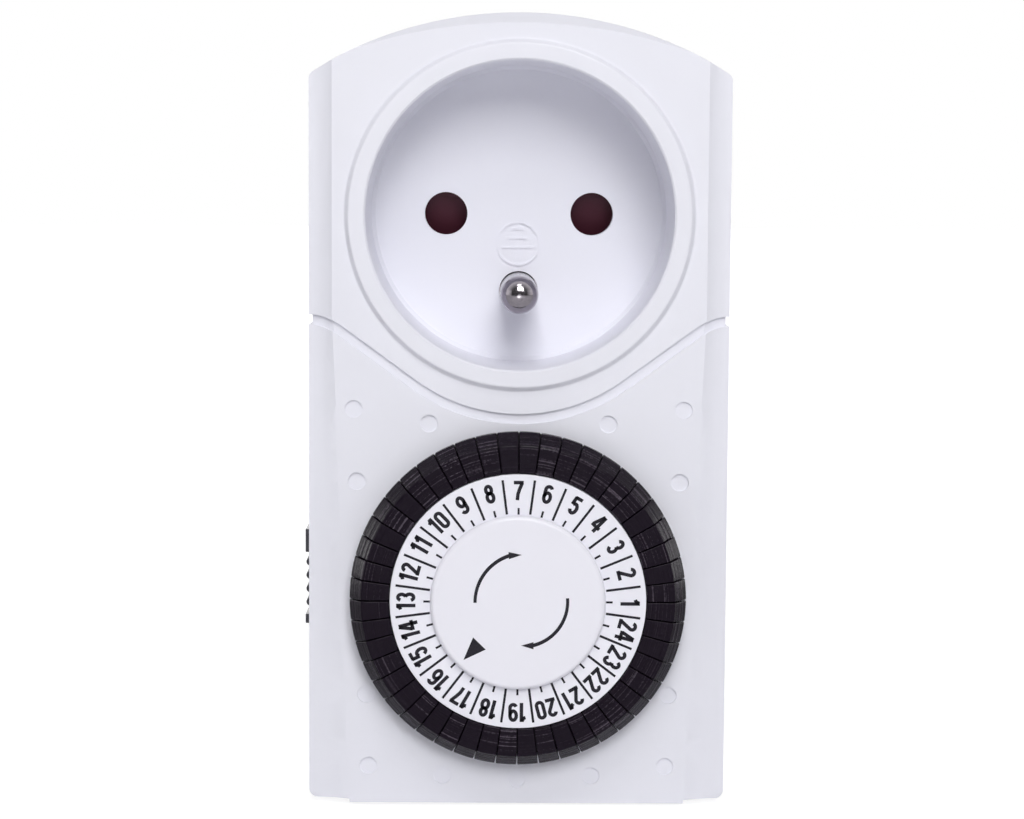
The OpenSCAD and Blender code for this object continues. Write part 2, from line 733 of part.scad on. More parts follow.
// The pin on the left feeds the blade of the switch
module line_bar() color(copper) stand() {
    p = [-pin_pitch / 2, 0];
    turn = -9.3;
    low = -boss_bore - 2;
    z_run = z_inside + 2;
    inner = -bar_edge + bar_w - 1;
    difference() {
        union() {
            rod(p, z_lug, z_lug + bar_t, lug_r);
            block([p[0] - 1.5, turn - bar_t, z_lug], [p[0] + 1.5, p[1], z_lug + bar_t]);
        }
        rod(p, z_lug - 1, z_lug + 1, 1.52);
    }
    block([p[0] - 1.5, turn - bar_t, z_lug], [p[0] + 1.5, turn, z_run]);
    block([p[0] - 1.5, low - bar_w, z_run - bar_t], [p[0] + 1.5, turn, z_run]);
    block([-bar_edge, low - bar_w, z_run - bar_t], [p[0] + 1.5, low, z_run]);
    block([-bar_edge, blade_root, z_run - bar_t], [inner, low, z_run]);
    block([blade_x[0], blade_root, z_run - bar_t], [inner, blade_root + 2, z_run]);
    block([blade_x[0], blade_root + 1.4, z_run - bar_t], [blade_x[1], blade_root + 2, z_blade - 0.02]);
    block([blade_x[0], blade_root, z_blade - bar_t - 0.02], [blade_x[1], blade_root + 2, z_blade - 0.02]);
}

// The fixed contact of the switch and its way to the left contact sleeve
module switched_bar() color(copper) stand() {
    z_pad = z_blade - contact_h - contact_gap - 0.25;
    low = contact_y - 1.3;
    high = contact_y + 1.3;
    lug([-pin_pitch / 2, 0], z_sleeve_lug, 0.8);
    side_run(z_sleeve_lug, low);
    block([blade_x[0], low, z_inside + 4], [-bar_side, high, z_inside + 4 + bar_t]);
    block([blade_x[0], low, z_inside + 4], [blade_x[0] + bar_t, high, z_pad]);
    block([blade_x[0], low, z_pad - bar_t], [blade_x[1], high, z_pad]);
    rod([(blade_x[0] + blade_x[1]) / 2, contact_y], z_pad - eps, z_pad + 0.25, contact_r);
}

// Joins the right pin to the right contact sleeve, and runs down to the motor
module neutral_bar() color(copper) stand() mirror([1, 0, 0]) {
    p = [-pin_pitch / 2, 0];
    lug(p, z_lug, 1.52);
    lug(p, z_sleeve_lug, 0.8);
    side_run(z_lug, dial[1] + 7);
}

// ---------------------------------------------------------------- mechanism plates

plate_x = post_x - 1.9;
plate_top = seam_low - seam_gap - wall - 0.3;
plate_low = wall - low_h + 2.2;

module front_plate() color(gear_ivory) stand() difference() {
    union() {
        layer_of(z_gears, z_plate) difference() {
            translate([-plate_x, plate_low]) square([2 * plate_x, plate_top - plate_low]);
            for (p = posts) translate(p) circle(post_r + 0.5);
        }
        // Lugs that hold the lever's pin
        for (y = [nose[1] - lever_w / 2 - 1.7, nose[1] + lever_w / 2 + 0.5])
            block([lever_axis_x - 1.4, y, z_lever - 1.4], [lever_axis_x + 3.4, y + 1.2, z_plate]);
        rod(dial, z_gears, z_drum - 0.6, spindle_r);
    }
    rod(dial, z_gears - 1, z_cap, 1.5 + run_gap);
    for (i = [1 : 5]) rod(arbor(i), z_gears - 1, z_plate + 1, arbor_r + 0.02);
    rod(arbor(5), z_gears - 1, z_plate + 1, 1.7);
    for (p = pillars) rod(p, z_gears - 1, z_plate + 1, screw_r + run_gap);
    // Window for the lever
    block([lever_axis_x + 1.4, nose[1] - lever_w / 2 - 0.5, z_gears - 1],
        [nose[0] + 1.6, nose[1] + lever_w / 2 + 0.5, z_plate + 1]);
    translate([lever_axis_x, nose[1], z_lever]) rotate([90, 0, 0])
        cylinder(r = 0.62, h = 8, center = true, $fn = 48);
}

module back_plate() color(gear_ivory) stand() difference() {
    layer_of(z_back - plate_t, z_back) difference() {
        translate([1 - plate_x, plate_low + 0.6]) square([2 * plate_x - 2, plate_top - plate_low - 0.8]);
        // Room for the switch and its bars
        translate([-plate_x, contact_y - 3]) square([plate_x + blade_x[1] + 4.3, blade_root - contact_y + 8]);
    }
    for (i = [1 : 5]) rod(arbor(i), z_back - 3, z_back + 1, arbor_r + 0.02);
    rod(arbor(0), z_back - 3, z_back + 1, 1.5);
    for (p = pillars) rod(p, z_back - 3, z_back + 1, screw_r + run_gap);
}

module plate_pillars() color(steel) stand() for (p = pillars) {
    rod(p, z_back + 0.02, z_gears - 0.02, pillar_r);
    rod(p, z_back - plate_t - 0.6, z_plate + 2.2, screw_r);
}

module gear_arbors() color(steel) stand() {
    for (i = [1 : 4]) rod(arbor(i), z_back - plate_t + 0.1, z_plate - 0.1, arbor_r);
    rod(arbor(5), z_back - plate_t + 0.1, z_plate + 3.2, arbor_r);
    translate([lever_axis_x, nose[1], z_lever]) rotate([90, 0, 0])
        cylinder(r = 0.6, h = lever_w + 3.2, center = true, $fn = 48);
}

// ---------------------------------------------------------------- gears

// Outline of a gear with ogive teeth. half is a tooth's half width at the pitch
// circle, in modules; tip, add and ded set the tooth's crown, height and root.
function tooth_ring(n, m, half, add, ded, tip) =
    let (rp = n * m / 2, w = half * m / rp * 180 / PI)
    [for (k = [0 : n - 1], q = [
            [rp - ded * m, -w], [rp, -w], [rp + 0.55 * add * m, -0.72 * w], [rp + add * m, -tip * w],
            [rp + add * m, tip * w], [rp + 0.55 * add * m, 0.72 * w], [rp, w], [rp - ded * m, w]])
        q[0] * heading(360 * k / n + q[1])];
module pinion(n, m) polygon(tooth_ring(n, m, 0.62, 0.75, 1.5, 0.35));
module wheel(n, m) polygon(tooth_ring(n, m, 0.72, 1.1, 1.2, 0.3));

function wheel_z(i) = z_back + 0.6 + (i - 1) * layer;

// A wheel that meshes with the pinion before it, and the pinion that drives the next
module train_gear(i) stand() {
    teeth = stages[i - 1][1];
    m = stages[i - 1][2];
    next = stages[i];
    translate([arbor(i)[0], arbor(i)[1], 0]) difference() {
        union() {
            layer_of(wheel_z(i), wheel_z(i) + wheel_t) difference() {
                rotate(wheel_phase(i)) wheel(teeth, m);
                for (k = [0 : 4]) rotate(72 * k)
                    translate([teeth * m * 0.29, 0]) circle(teeth * m * 0.1, $fn = 36);
            }
            layer_of(wheel_z(i) + wheel_t - eps, wheel_z(i + 1) + wheel_t) pinion(next[0], next[2]);
        }
        rod([0, 0], z_back, z_gears, arbor_r + run_gap);
    }
}

module gear_1() color(gear_ivory) train_gear(1);
module gear_2() color(gear_ivory) train_gear(2);
module gear_3() color(gear_ivory) train_gear(3);
module gear_4() color(gear_ivory) train_gear(4);

clutch_shaft_r = 0.95;
// The flange stays inside the tips of the wheel beside it
clutch_flange_r = centre_distance(stages[4]) - (stages[3][1] / 2 + 1.1) * stages[3][2] - 0.25;

module clutch_wheel() color(gear_ivory) stand() translate([arbor(5)[0], arbor(5)[1], 0]) difference() {
    layer_of(wheel_z(5), wheel_z(5) + wheel_t) difference() {
        rotate(wheel_phase(5)) wheel(stages[4][1], stages[4][2]);
        for (k = [0 : 5]) rotate(60 * k) translate([6.2, 0]) circle(1.9, $fn = 36);
    }
    rod([0, 0], z_back, z_gears, clutch_shaft_r + run_gap);
}

// The clutch's friction flange, its shaft through the plate, and the dial's pinion
module clutch_pinion() color(brass) stand() translate([arbor(5)[0], arbor(5)[1], 0]) difference() {
    union() {
        rod([0, 0], wheel_z(5) - 0.75, wheel_z(5) - 0.05, clutch_flange_r);
        rod([0, 0], wheel_z(5) - 0.1, z_plate + 1, clutch_shaft_r);
        layer_of(z_plate + 0.95, z_plate + 2.9) pinion(leaves, ring_module);
    }
    rod([0, 0], z_back, z_front, arbor_r + run_gap);
}

// ---------------------------------------------------------------- motor

// Sits on the axis of the rotor
module at_motor() translate([arbor(0)[0], arbor(0)[1], 0]) children();

module rotor() color(slider_grey) stand() at_motor() {
    rod([0, 0], z_cup + 1.8, z_motor - 0.9, rotor_r);
    rod([0, 0], z_cup + 0.4, wheel_z(1) + wheel_t, 0.6);
    layer_of(wheel_z(1) - 0.3, wheel_z(1) + wheel_t + 0.1) pinion(leaves, fine_module);
}

module stator_cup() color(steel) stand() at_motor() difference() {
    rod([0, 0], z_cup, z_motor - 0.9, motor_r);
    rod([0, 0], z_cup + 1, z_motor, motor_r - 1);
    rod([0, 0], z_cup - 1, z_motor, 0.6 + run_gap);
}

module stator_plate() color(steel) stand() at_motor() {
    difference() {
        rod([0, 0], z_motor - 0.88, z_motor, motor_r);
        rod([0, 0], z_motor - 2, z_motor + 1, rotor_r + 0.4);
    }
    for (k = [0 : poles - 1]) rotate(360 * k / poles)
        block([rotor_r + 0.3, -0.7, z_cup + 3], [rotor_r + 0.9, 0.7, z_motor - 0.5]);
}

module bobbin() color(dial_white) stand() at_motor() difference() {
    rod([0, 0], z_cup + 1.1, z_motor - 1, motor_r - 1.1);
    rod([0, 0], z_cup, z_motor, rotor_r + 1.1);
    difference() {
        rod([0, 0], z_cup + 2, z_motor - 1.9, motor_r);
        rod([0, 0], z_cup, z_motor, rotor_r + coil_in - 0.02);
    }
}

module coil() color(copper) stand() at_motor()
    tube([0, 0], z_cup + 2.02, z_motor - 1.92, motor_r - coil_out, rotor_r + coil_in);

// ---------------------------------------------------------------- dial

// Angle of a printed hour, counted counter-clockwise with the 7 at the top
function hour_angle(n) = 90 + (n - 7) * 2 * half_hour;

// Angle that puts a gap of the ring gear round each leaf of the clutch pinion
ring_phase = headings[0] - 360 / ring_teeth * (headings[0] / (360 / leaves) + 0.5);

module dial_wheel() color(dial_white) stand() translate([dial[0], dial[1], 0]) {
    difference() {
        union() {
            // Face, drum and deck of the wheel in one profile
            rotate_extrude($fn = 144) polygon([
                [spindle_r + run_gap, z_drum - drum_t], [ring_r - drum_wall, z_drum - drum_t],
                [ring_r - drum_wall, z_plate + 1.1], [ring_r - 0.1, z_plate + 1.1],
                [ring_r - 0.1, z_deck - deck_t], [deck_r, z_deck - deck_t], [deck_r, z_deck],
                [ring_r - 0.1, z_deck], [ring_r - 0.1, z_drum], [spindle_r + run_gap, z_drum]
            ]);
            tube([0, 0], z_plate + 1.6, z_drum - drum_t + 0.1, spindle_r + 1.6, spindle_r + run_gap);
        }
        // Slots that guide the tappets' legs
        for (k = [0 : 2 * hours - 1]) rotate((k + 0.5) * half_hour)
            block([leg_r[0] - 0.1, -leg_w / 2 - 0.07, z_deck - deck_t - 1],
                [leg_r[1] + 0.1, leg_w / 2 + 0.07, z_deck + 1]);
    }
    // Ring gear inside the drum, driven by the clutch pinion
    layer_of(z_plate + 1.1, z_plate + 2.8) difference() {
        circle(ring_r - drum_wall + 0.1);
        rotate(ring_phase) polygon(tooth_ring(ring_teeth, ring_module, 0.6, -0.8, -1.1, 0.4));
    }
}

module number_ring() color(dial_white) stand()
    tube(dial, z_drum + eps, z_ring, ring_r, cap_r - 2);

module centre_cap() color(dial_white) stand() translate([dial[0], dial[1], 0]) {
    rotate_extrude($fn = 144) polygon(concat(
        [[0, z_cap - 0.9], [4.5, z_cap - 0.9], [4.5, z_cap], [cap_r - 0.05, z_cap]],
        arc([cap_r - 0.6, z_cap + cap_t - 0.6], 0.6, 0, 90, 5), [[0, z_cap + cap_t]]));
    rod([0, 0], z_plate, z_cap - 0.8, 1.5);
}

// One hour's two tappets: heads that the finger presses, legs that slide in the deck
module tappets(n) color(tappet_black) stand() translate([dial[0], dial[1], 0])
    for (side = [-1, 1]) rotate(hour_angle(n) + side * half_hour / 2) {
        span = half_hour - tappet_gap / dial_r * 180 / PI;
        rotate(-span / 2) rotate_extrude(angle = span, $fn = 144) polygon([
            [ring_r + 0.12, z_head], [dial_r, z_head], [dial_r, z_crown - 2],
            [dial_r - tappet_chamfer, z_crown], [ring_r + 0.12, z_crown]
        ]);
        block([leg_r[0], -leg_w / 2, z_leg], [leg_r[1], leg_w / 2, z_head + 0.3]);
        block([leg_r[1] - 0.1, -leg_w / 2, z_leg], [leg_r[1] + 0.35, leg_w / 2, z_leg + 0.8]);
    }

// ---------------------------------------------------------------- switch

module switch_lever() color(tappet_black) stand() difference() {
    union() {
        translate([lever_axis_x, nose[1], z_lever]) rotate([90, 0, 0])
            cylinder(r = 1.2, h = lever_w, center = true, $fn = 48);
        block([lever_axis_x, nose[1] - lever_w / 2, z_lever - 0.8],
            [nose[0] + 0.4, nose[1] + lever_w / 2, z_lever + 0.8]);
        translate([nose[0], nose[1], 0]) rotate(pointer_angle)
            block([-0.5, -0.4, z_lever - 0.8], [0.5, 0.4, z_leg - 0.2]);
        // Foot that bends the blade
        block([lever_axis_x + 2.6, nose[1] - lever_w / 2, z_blade + blade_t + slip],
            [lever_axis_x + 3.6, nose[1] + lever_w / 2, z_lever - 0.7]);
    }
    translate([lever_axis_x, nose[1], z_lever]) rotate([90, 0, 0])
        cylinder(r = 0.6 + run_gap, h = lever_w + 1, center = true, $fn = 48);
}

module moving_blade() color(brass) stand() {
    block([blade_x[0], nose[1] - lever_w / 2, z_blade], [blade_x[1], blade_root + 1, z_blade + blade_t]);
    rod([(blade_x[0] + blade_x[1]) / 2, contact_y], z_blade - contact_h, z_blade + eps, contact_r);
}

module override_slider() color(slider_grey) stand() {
    x0 = -body_w / 2 - 0.1;
    z0 = slider_z - slider_w / 2;
    top = slider_top;
    // Button: a thin plate with a block at each end and four round finger ribs
    layer_of(z0, z0 + slider_w) intersection() {
        union() {
            translate([x0 - slider_plate, top - slider_len]) square([slider_plate, slider_len]);
            translate([x0 - slider_h, top - 3]) square([slider_h, 3]);
            translate([x0 - slider_h, top - 12.3]) square([slider_h, 1.2]);
            for (i = [0 : 3]) translate([x0 - slider_h + 0.1 + rib_r, top - 4.25 - i * 1.75])
                circle(rib_r);
        }
        translate([x0 - slider_h, top - slider_len]) square([slider_h, slider_len]);
    }
    // Neck through the wall, plate behind it and the arm over the blade
    inside = -body_w / 2 + wall + 0.1;
    block([x0 - eps, slider_y - neck_len / 2, slider_z - neck_w / 2],
        [inside + 0.1, slider_y + neck_len / 2, slider_z + neck_w / 2]);
    block([inside, slider_y - 5, z0], [inside + 0.9, slider_y + 5, z0 + slider_w]);
    block([inside, slider_y - 4.6, z_blade + blade_t + 0.2],
        [blade_x[1], slider_y - 3.4, z_blade + blade_t + 1]);
}

socket_cover();
dial_cover();
rear_cover();
cover_screws();
shutter();
shutter_spring();
contact_carrier();
contact_sleeves();
plug_pins();
front_earth_pin();
earth_bridge();
rear_earth_sleeve();
line_bar();
switched_bar();
neutral_bar();
front_plate();
back_plate();
plate_pillars();
gear_arbors();
coil();
bobbin();
stator_cup();
stator_plate();
rotor();
gear_1();
gear_2();
gear_3();
gear_4();
clutch_wheel();
clutch_pinion();
dial_wheel();
number_ring();
centre_cap();
switch_lever();
moving_blade();
override_slider();
for (n = [1 : hours]) tappets(n);
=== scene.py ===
"""Dresses the plug-in timer switch: finishes, printed dial, camera, light and floor."""

import json
import logging
import math
from dataclasses import dataclass, field
from enum import Enum
from functools import lru_cache
from typing import Any, Iterable, Sequence

import bmesh
import bpy
from mathutils import Matrix, Vector

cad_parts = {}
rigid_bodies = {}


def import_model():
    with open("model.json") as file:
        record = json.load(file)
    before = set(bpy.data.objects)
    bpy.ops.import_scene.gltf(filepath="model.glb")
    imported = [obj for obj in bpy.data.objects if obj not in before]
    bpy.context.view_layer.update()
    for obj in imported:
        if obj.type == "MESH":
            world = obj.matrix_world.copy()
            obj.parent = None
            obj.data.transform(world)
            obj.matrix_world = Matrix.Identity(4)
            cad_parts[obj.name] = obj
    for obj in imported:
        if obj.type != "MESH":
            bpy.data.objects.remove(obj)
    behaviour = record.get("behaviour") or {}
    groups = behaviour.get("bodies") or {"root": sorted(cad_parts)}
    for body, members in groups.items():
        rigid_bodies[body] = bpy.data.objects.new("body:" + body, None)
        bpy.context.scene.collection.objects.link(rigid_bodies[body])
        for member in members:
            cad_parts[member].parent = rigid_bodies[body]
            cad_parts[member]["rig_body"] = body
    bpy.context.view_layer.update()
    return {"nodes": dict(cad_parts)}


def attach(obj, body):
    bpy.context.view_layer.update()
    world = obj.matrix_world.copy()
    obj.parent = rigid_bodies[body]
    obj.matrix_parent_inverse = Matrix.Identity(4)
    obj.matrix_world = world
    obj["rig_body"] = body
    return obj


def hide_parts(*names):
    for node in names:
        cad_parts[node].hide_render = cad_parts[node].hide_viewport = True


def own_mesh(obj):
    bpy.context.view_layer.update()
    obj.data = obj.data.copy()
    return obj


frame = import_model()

log = logging.getLogger("timer_switch")
MM = 0.001
Point = tuple[float, float]
DIAL_CENTRE_MM: Point = (0.0, -48.0)
HOURS = 24
# The Mix node's colour sockets share their names with its other sockets, so they go by number
MIX_FIRST, MIX_SECOND, MIX_RESULT = 6, 7, 2


# --------------------------------------------------------------------------- colour and nodes


def linear(hex_colour: str) -> tuple[float, float, float, float]:
    """Turns an sRGB hex colour into the linear colour that shaders take.

    Args:
        hex_colour: the colour as "#rrggbb".

    Returns:
        Linear red, green and blue, and an alpha of 1.
    """
    parts = [int(hex_colour[i : i + 2], 16) / 255 for i in (1, 3, 5)]
    red, green, blue = (
        p / 12.92 if p <= 0.04045 else ((p + 0.055) / 1.055) ** 2.4 for p in parts
    )
    return red, green, blue, 1.0


def add_node(
    tree: bpy.types.NodeTree, kind: str, inputs: dict[Any, Any] | None = None, **settings: Any
) -> bpy.types.Node:
    """Adds a node to a tree, with its settings, values and links.

    Args:
        tree: the shader or geometry tree.
        kind: the node's type name.
        inputs: a value or an output socket for each input, by name or number.
        **settings: the node's own properties.

    Returns:
        The new node.
    """
    node = tree.nodes.new(kind)
    for name, value in settings.items():
        setattr(node, name, value)
    for name, value in (inputs or {}).items():
        if isinstance(value, bpy.types.NodeSocket):
            tree.links.new(value, node.inputs[name])
        else:
            node.inputs[name].default_value = value
    return node


# --------------------------------------------------------------------------- finishes


class Slot(Enum):
    """The record's material slots; each finish keeps the one it belongs to."""

    HOUSING = "white_housing"
    DIAL = "dial_white_plastic"
    IVORY = "ivory_plastic"
    BLACK = "black_plastic"
    GREY = "grey_plastic"
    MAROON = "maroon_plastic"
    FERRITE = "ferrite"
    NICKEL = "nickel_plate"
    ZINC = "zinc_plated_steel"
    SPRING = "spring_steel"
    BRASS = "brass"
    COPPER = "copper"


@dataclass(frozen=True)
class Finish:
    """A real material and the way its surface was made."""

    name: str
    colour: str
    roughness: float
    slot: Slot

    def build(self, tree: bpy.types.NodeTree, shader: bpy.types.Node) -> None:
        """Adds the finish's own nodes round the shader."""
        raise NotImplementedError

    @lru_cache(maxsize=None)
    def material(self) -> bpy.types.Material:
        """Makes the finish's Blender material on first use.

        Returns:
            The material, the same one at each call.
        """
        material = bpy.data.materials.new(self.name)
        material.use_nodes = True
        material.diffuse_color = linear(self.colour)
        tree = material.node_tree
        tree.nodes.clear()
        shader = add_node(tree, "ShaderNodeBsdfPrincipled", {"Roughness": self.roughness})
        add_node(tree, "ShaderNodeOutputMaterial", {"Surface": shader.outputs["BSDF"]})
        self.build(tree, shader)
        return material

    @staticmethod
    def lay_skin(
        tree: bpy.types.NodeTree,
        shader: bpy.types.Node,
        tone: tuple[bpy.types.NodeSocket, str, str],
        gloss: tuple[bpy.types.NodeSocket, float, float] | None = None,
        relief: tuple[bpy.types.NodeSocket, float] | None = None,
    ) -> None:
        """Lets patterns turn the shader's colour, gloss and height.

        Args:
            tree: the material's tree.
            shader: its Principled shader.
            tone: a pattern, with the colours where it is 0 and where it is 1.
            gloss: a pattern, with the roughness where it is 0 and where it is 1.
            relief: a pattern, with its height in millimetres.
        """
        pattern, first, second = tone
        mix = add_node(
            tree,
            "ShaderNodeMix",
            {"Factor": pattern, MIX_FIRST: linear(first), MIX_SECOND: linear(second)},
            data_type="RGBA",
        )
        tree.links.new(mix.outputs[MIX_RESULT], shader.inputs["Base Color"])
        if gloss:
            pattern, low, high = gloss
            swing = add_node(
                tree, "ShaderNodeMapRange", {"Value": pattern, "To Min": low, "To Max": high}
            )
            tree.links.new(swing.outputs["Result"], shader.inputs["Roughness"])
        if relief:
            pattern, height_mm = relief
            bump = add_node(
                tree, "ShaderNodeBump", {"Height": pattern, "Distance": height_mm * MM}
            )
            tree.links.new(bump.outputs["Normal"], shader.inputs["Normal"])


@dataclass(frozen=True)
class MouldedPlastic(Finish):
    """Injection-moulded plastic: an even colour, faint flow marks and a fine eroded grain."""

    flow_colour: str = "#eaeaf3"
    flow_mm: float = 22.0
    grain_mm: float = 0.35
    grain_depth_mm: float = 0.006
    roughness_swing: float = 0.06
    ior: float = 1.52

    def build(self, tree: bpy.types.NodeTree, shader: bpy.types.Node) -> None:
        """Mixes two close tones along the melt's flow and lifts the mould's grain.

        Args:
            tree: the material's tree.
            shader: its Principled shader.
        """
        shader.inputs["IOR"].default_value = self.ior
        place = add_node(tree, "ShaderNodeTexCoord").outputs["Object"]
        flow, grain = (
            add_node(
                tree,
                "ShaderNodeTexNoise",
                {"Vector": place, "Scale": 1 / (size * MM), "Detail": detail, "Roughness": rough},
            ).outputs["Fac"]
            for size, detail, rough in ((self.flow_mm, 3.0, 0.45), (self.grain_mm, 4.0, 0.6))
        )
        self.lay_skin(
            tree,
            shader,
            tone=(flow, self.colour, self.flow_colour),
            gloss=(
                grain,
                self.roughness - self.roughness_swing,
                self.roughness + self.roughness_swing,
            ),
            relief=(grain, self.grain_depth_mm),
        )


@dataclass(frozen=True)
class ToolMarkedPlastic(Finish):
    """Black moulded plastic that keeps the milling lines of its mould, ring after ring.

    Each tappet came out of its own cavity, so its lines sit apart from its neighbours', and the
    painted highlight on its high ridges is a little stronger or weaker than theirs.
    """

    lit_colour: str = "#6d6470"
    centre_mm: Point = DIAL_CENTRE_MM
    tappets: int = 2 * HOURS
    line_mm: float = 0.24
    line_depth_mm: float = 0.06
    speck_mm: float = 0.3
    # How high the relief has to be for the first and for the full painted highlight, and the
    # painted highlight's share
    scuff_from: float = 0.82
    scuff_full: float = 0.98
    scuff_share: float = 0.6
    sheen: float = 0.14

    def build(self, tree: bpy.types.NodeTree, shader: bpy.types.Node) -> None:
        """Draws rings round the dial's axis and paints a highlight on their high ridges, of its own
        strength on each tappet.

        Args:
            tree: the material's tree.
            shader: its Principled shader.
        """
        shader.inputs["Specular IOR Level"].default_value = self.sheen
        place = add_node(tree, "ShaderNodeTexCoord").outputs["Object"]
        about = add_node(
            tree,
            "ShaderNodeVectorMath",
            {0: place, 1: (self.centre_mm[0] * MM, 0.0, self.centre_mm[1] * MM)},
            operation="SUBTRACT",
        )
        axes = add_node(tree, "ShaderNodeSeparateXYZ", {"Vector": about.outputs["Vector"]})
        turn = add_node(
            tree,
            "ShaderNodeMath",
            {0: axes.outputs["Z"], 1: axes.outputs["X"]},
            operation="ARCTAN2",
        )
        number = add_node(
            tree,
            "ShaderNodeMath",
            {0: turn.outputs[0], 1: self.tappets / (2 * math.pi)},
            operation="MULTIPLY",
        )
        whole = add_node(tree, "ShaderNodeMath", {0: number.outputs[0]}, operation="FLOOR")
        cavity = add_node(
            tree, "ShaderNodeTexWhiteNoise", {"W": whole.outputs[0]}, noise_dimensions="1D"
        )
        flat = add_node(
            tree, "ShaderNodeCombineXYZ", {"X": axes.outputs["X"], "Y": axes.outputs["Z"]}
        )
        radius = add_node(
            tree, "ShaderNodeVectorMath", {0: flat.outputs["Vector"]}, operation="LENGTH"
        )
        along = add_node(
            tree,
            "ShaderNodeCombineXYZ",
            {"X": radius.outputs["Value"], "Y": cavity.outputs["Value"]},
        )
        marks = add_node(
            tree,
            "ShaderNodeTexNoise",
            {"Vector": along.outputs["Vector"], "Scale": 1 / (self.line_mm * MM), "Detail": 1.0},
        )
        specks = add_node(
            tree,
            "ShaderNodeTexNoise",
            {"Vector": place, "Scale": 1 / (self.speck_mm * MM), "Detail": 4.0, "Roughness": 0.7},
        )
        height = add_node(
            tree,
            "ShaderNodeMath",
            {0: specks.outputs["Fac"], 1: 0.5, 2: marks.outputs["Fac"]},
            operation="MULTIPLY_ADD",
        )
        # Painted highlight: where the relief is highest the tone turns towards the lighter colour,
        # as if lit
        ridge_highlight = add_node(
            tree,
            "ShaderNodeMapRange",
            {
                "Value": height.outputs[0],
                "From Min": self.scuff_from,
                "From Max": self.scuff_full,
                "To Max": self.scuff_share,
            },
        )
        # Each tappet's random number makes its painted highlight stronger or weaker
        painted_highlight = add_node(
            tree,
            "ShaderNodeMath",
            {0: ridge_highlight.outputs["Result"], 1: cavity.outputs["Value"]},
            operation="MULTIPLY",
        )
        self.lay_skin(
            tree,
            shader,
            tone=(painted_highlight.outputs[0], self.colour, self.lit_colour),
            gloss=(specks.outputs["Fac"], self.roughness - 0.08, self.roughness + 0.1),
            relief=(height.outputs[0], self.line_depth_mm),
        )


@dataclass(frozen=True)
class Metal(Finish):
    """Bare or plated metal with fine scratches drawn out along one direction."""

    dark_colour: str = "#808080"
    scratch_mm: tuple[float, float, float] = (0.2, 3.0, 0.2)
    scratch_depth_mm: float = 0.004
    roughness_share: float = 0.3

    def build(self, tree: bpy.types.NodeTree, shader: bpy.types.Node) -> None:
        """Stretches noise into scratches that turn tone, gloss and height.

        Args:
            tree: the material's tree.
            shader: its Principled shader.
        """
        shader.inputs["Metallic"].default_value = 1.0
        place = add_node(tree, "ShaderNodeTexCoord").outputs["Object"]
        drawn = add_node(
            tree,
            "ShaderNodeMapping",
            {"Vector": place, "Scale": tuple(1 / (size * MM) for size in self.scratch_mm)},
        )
        scratches = add_node(
            tree, "ShaderNodeTexNoise", {"Vector": drawn.outputs["Vector"], "Detail": 4.0}
        ).outputs["Fac"]
        low, high = (self.roughness * (1 + way * self.roughness_share) for way in (-1, 1))
        self.lay_skin(
            tree,
            shader,
            tone=(scratches, self.dark_colour, self.colour),
            gloss=(scratches, low, high),
            relief=(scratches, self.scratch_depth_mm),
        )


@dataclass(frozen=True)
class Winding(Finish):
    """Enamelled copper wire wound side by side, each turn a small glossy ridge, with painted shade
    in the gaps between turns.
    """

    gap_colour: str = "#5a2410"
    wire_mm: float = 0.35
    ridge_mm: float = 0.1
    metallic: float = 0.6
    # A wave texture of scale 1 has this many bands to the metre
    bands_per_metre: float = 3.2

    def build(self, tree: bpy.types.NodeTree, shader: bpy.types.Node) -> None:
        """Raises one ridge for each turn along the coil's axis and paints shade in the gaps between
        turns.

        Args:
            tree: the material's tree.
            shader: its Principled shader.
        """
        shader.inputs["Metallic"].default_value = self.metallic
        place = add_node(tree, "ShaderNodeTexCoord").outputs["Object"]
        scale = 1 / (self.wire_mm * MM) / self.bands_per_metre
        turns = add_node(
            tree,
            "ShaderNodeTexWave",
            {"Vector": place, "Scale": scale, "Distortion": 0.4},
            bands_direction="Y",
        ).outputs["Fac"]
        # Painted shade: the valleys between turns take the darker gap colour
        self.lay_skin(
            tree,
            shader,
            tone=(turns, self.gap_colour, self.colour),
            relief=(turns, self.ridge_mm),
        )


@dataclass(frozen=True)
class PadInk(Finish):
    """Pad-printed ink: matt, nearly black, a little thin where the pad lifted."""

    thin_colour: str = "#322f38"
    blotch_mm: float = 0.3
    sheen: float = 0.2

    def build(self, tree: bpy.types.NodeTree, shader: bpy.types.Node) -> None:
        """Thins the ink's tone in small blotches.

        Args:
            tree: the material's tree.
            shader: its Principled shader.
        """
        shader.inputs["Specular IOR Level"].default_value = self.sheen
        place = add_node(tree, "ShaderNodeTexCoord").outputs["Object"]
        blotch = add_node(
            tree,
            "ShaderNodeTexNoise",
            {"Vector": place, "Scale": 1 / (self.blotch_mm * MM), "Detail": 3.0, "Roughness": 0.7},
        )
        self.lay_skin(tree, shader, tone=(blotch.outputs["Fac"], self.colour, self.thin_colour))


# White ABS of the covers: a cool white with a satin, finely eroded skin.
HOUSING_ABS = MouldedPlastic(
    name="white_abs_eroded_satin", colour="#efeff7", roughness=0.42, slot=Slot.HOUSING
)
# The dial's white POM: a touch brighter and smoother, with a soft sheen.
DIAL_POM = MouldedPlastic(
    name="white_pom_satin",
    colour="#f5f4fc",
    flow_colour="#f0eff8",
    roughness=0.36,
    grain_mm=0.25,
    grain_depth_mm=0.003,
    slot=Slot.DIAL,
)
# Ivory nylon of gears and carriers: warm, waxy and slightly dull.
IVORY_NYLON = MouldedPlastic(
    name="ivory_nylon_natural",
    colour="#e3dec9",
    flow_colour="#d9d2b8",
    roughness=0.45,
    slot=Slot.IVORY,
)
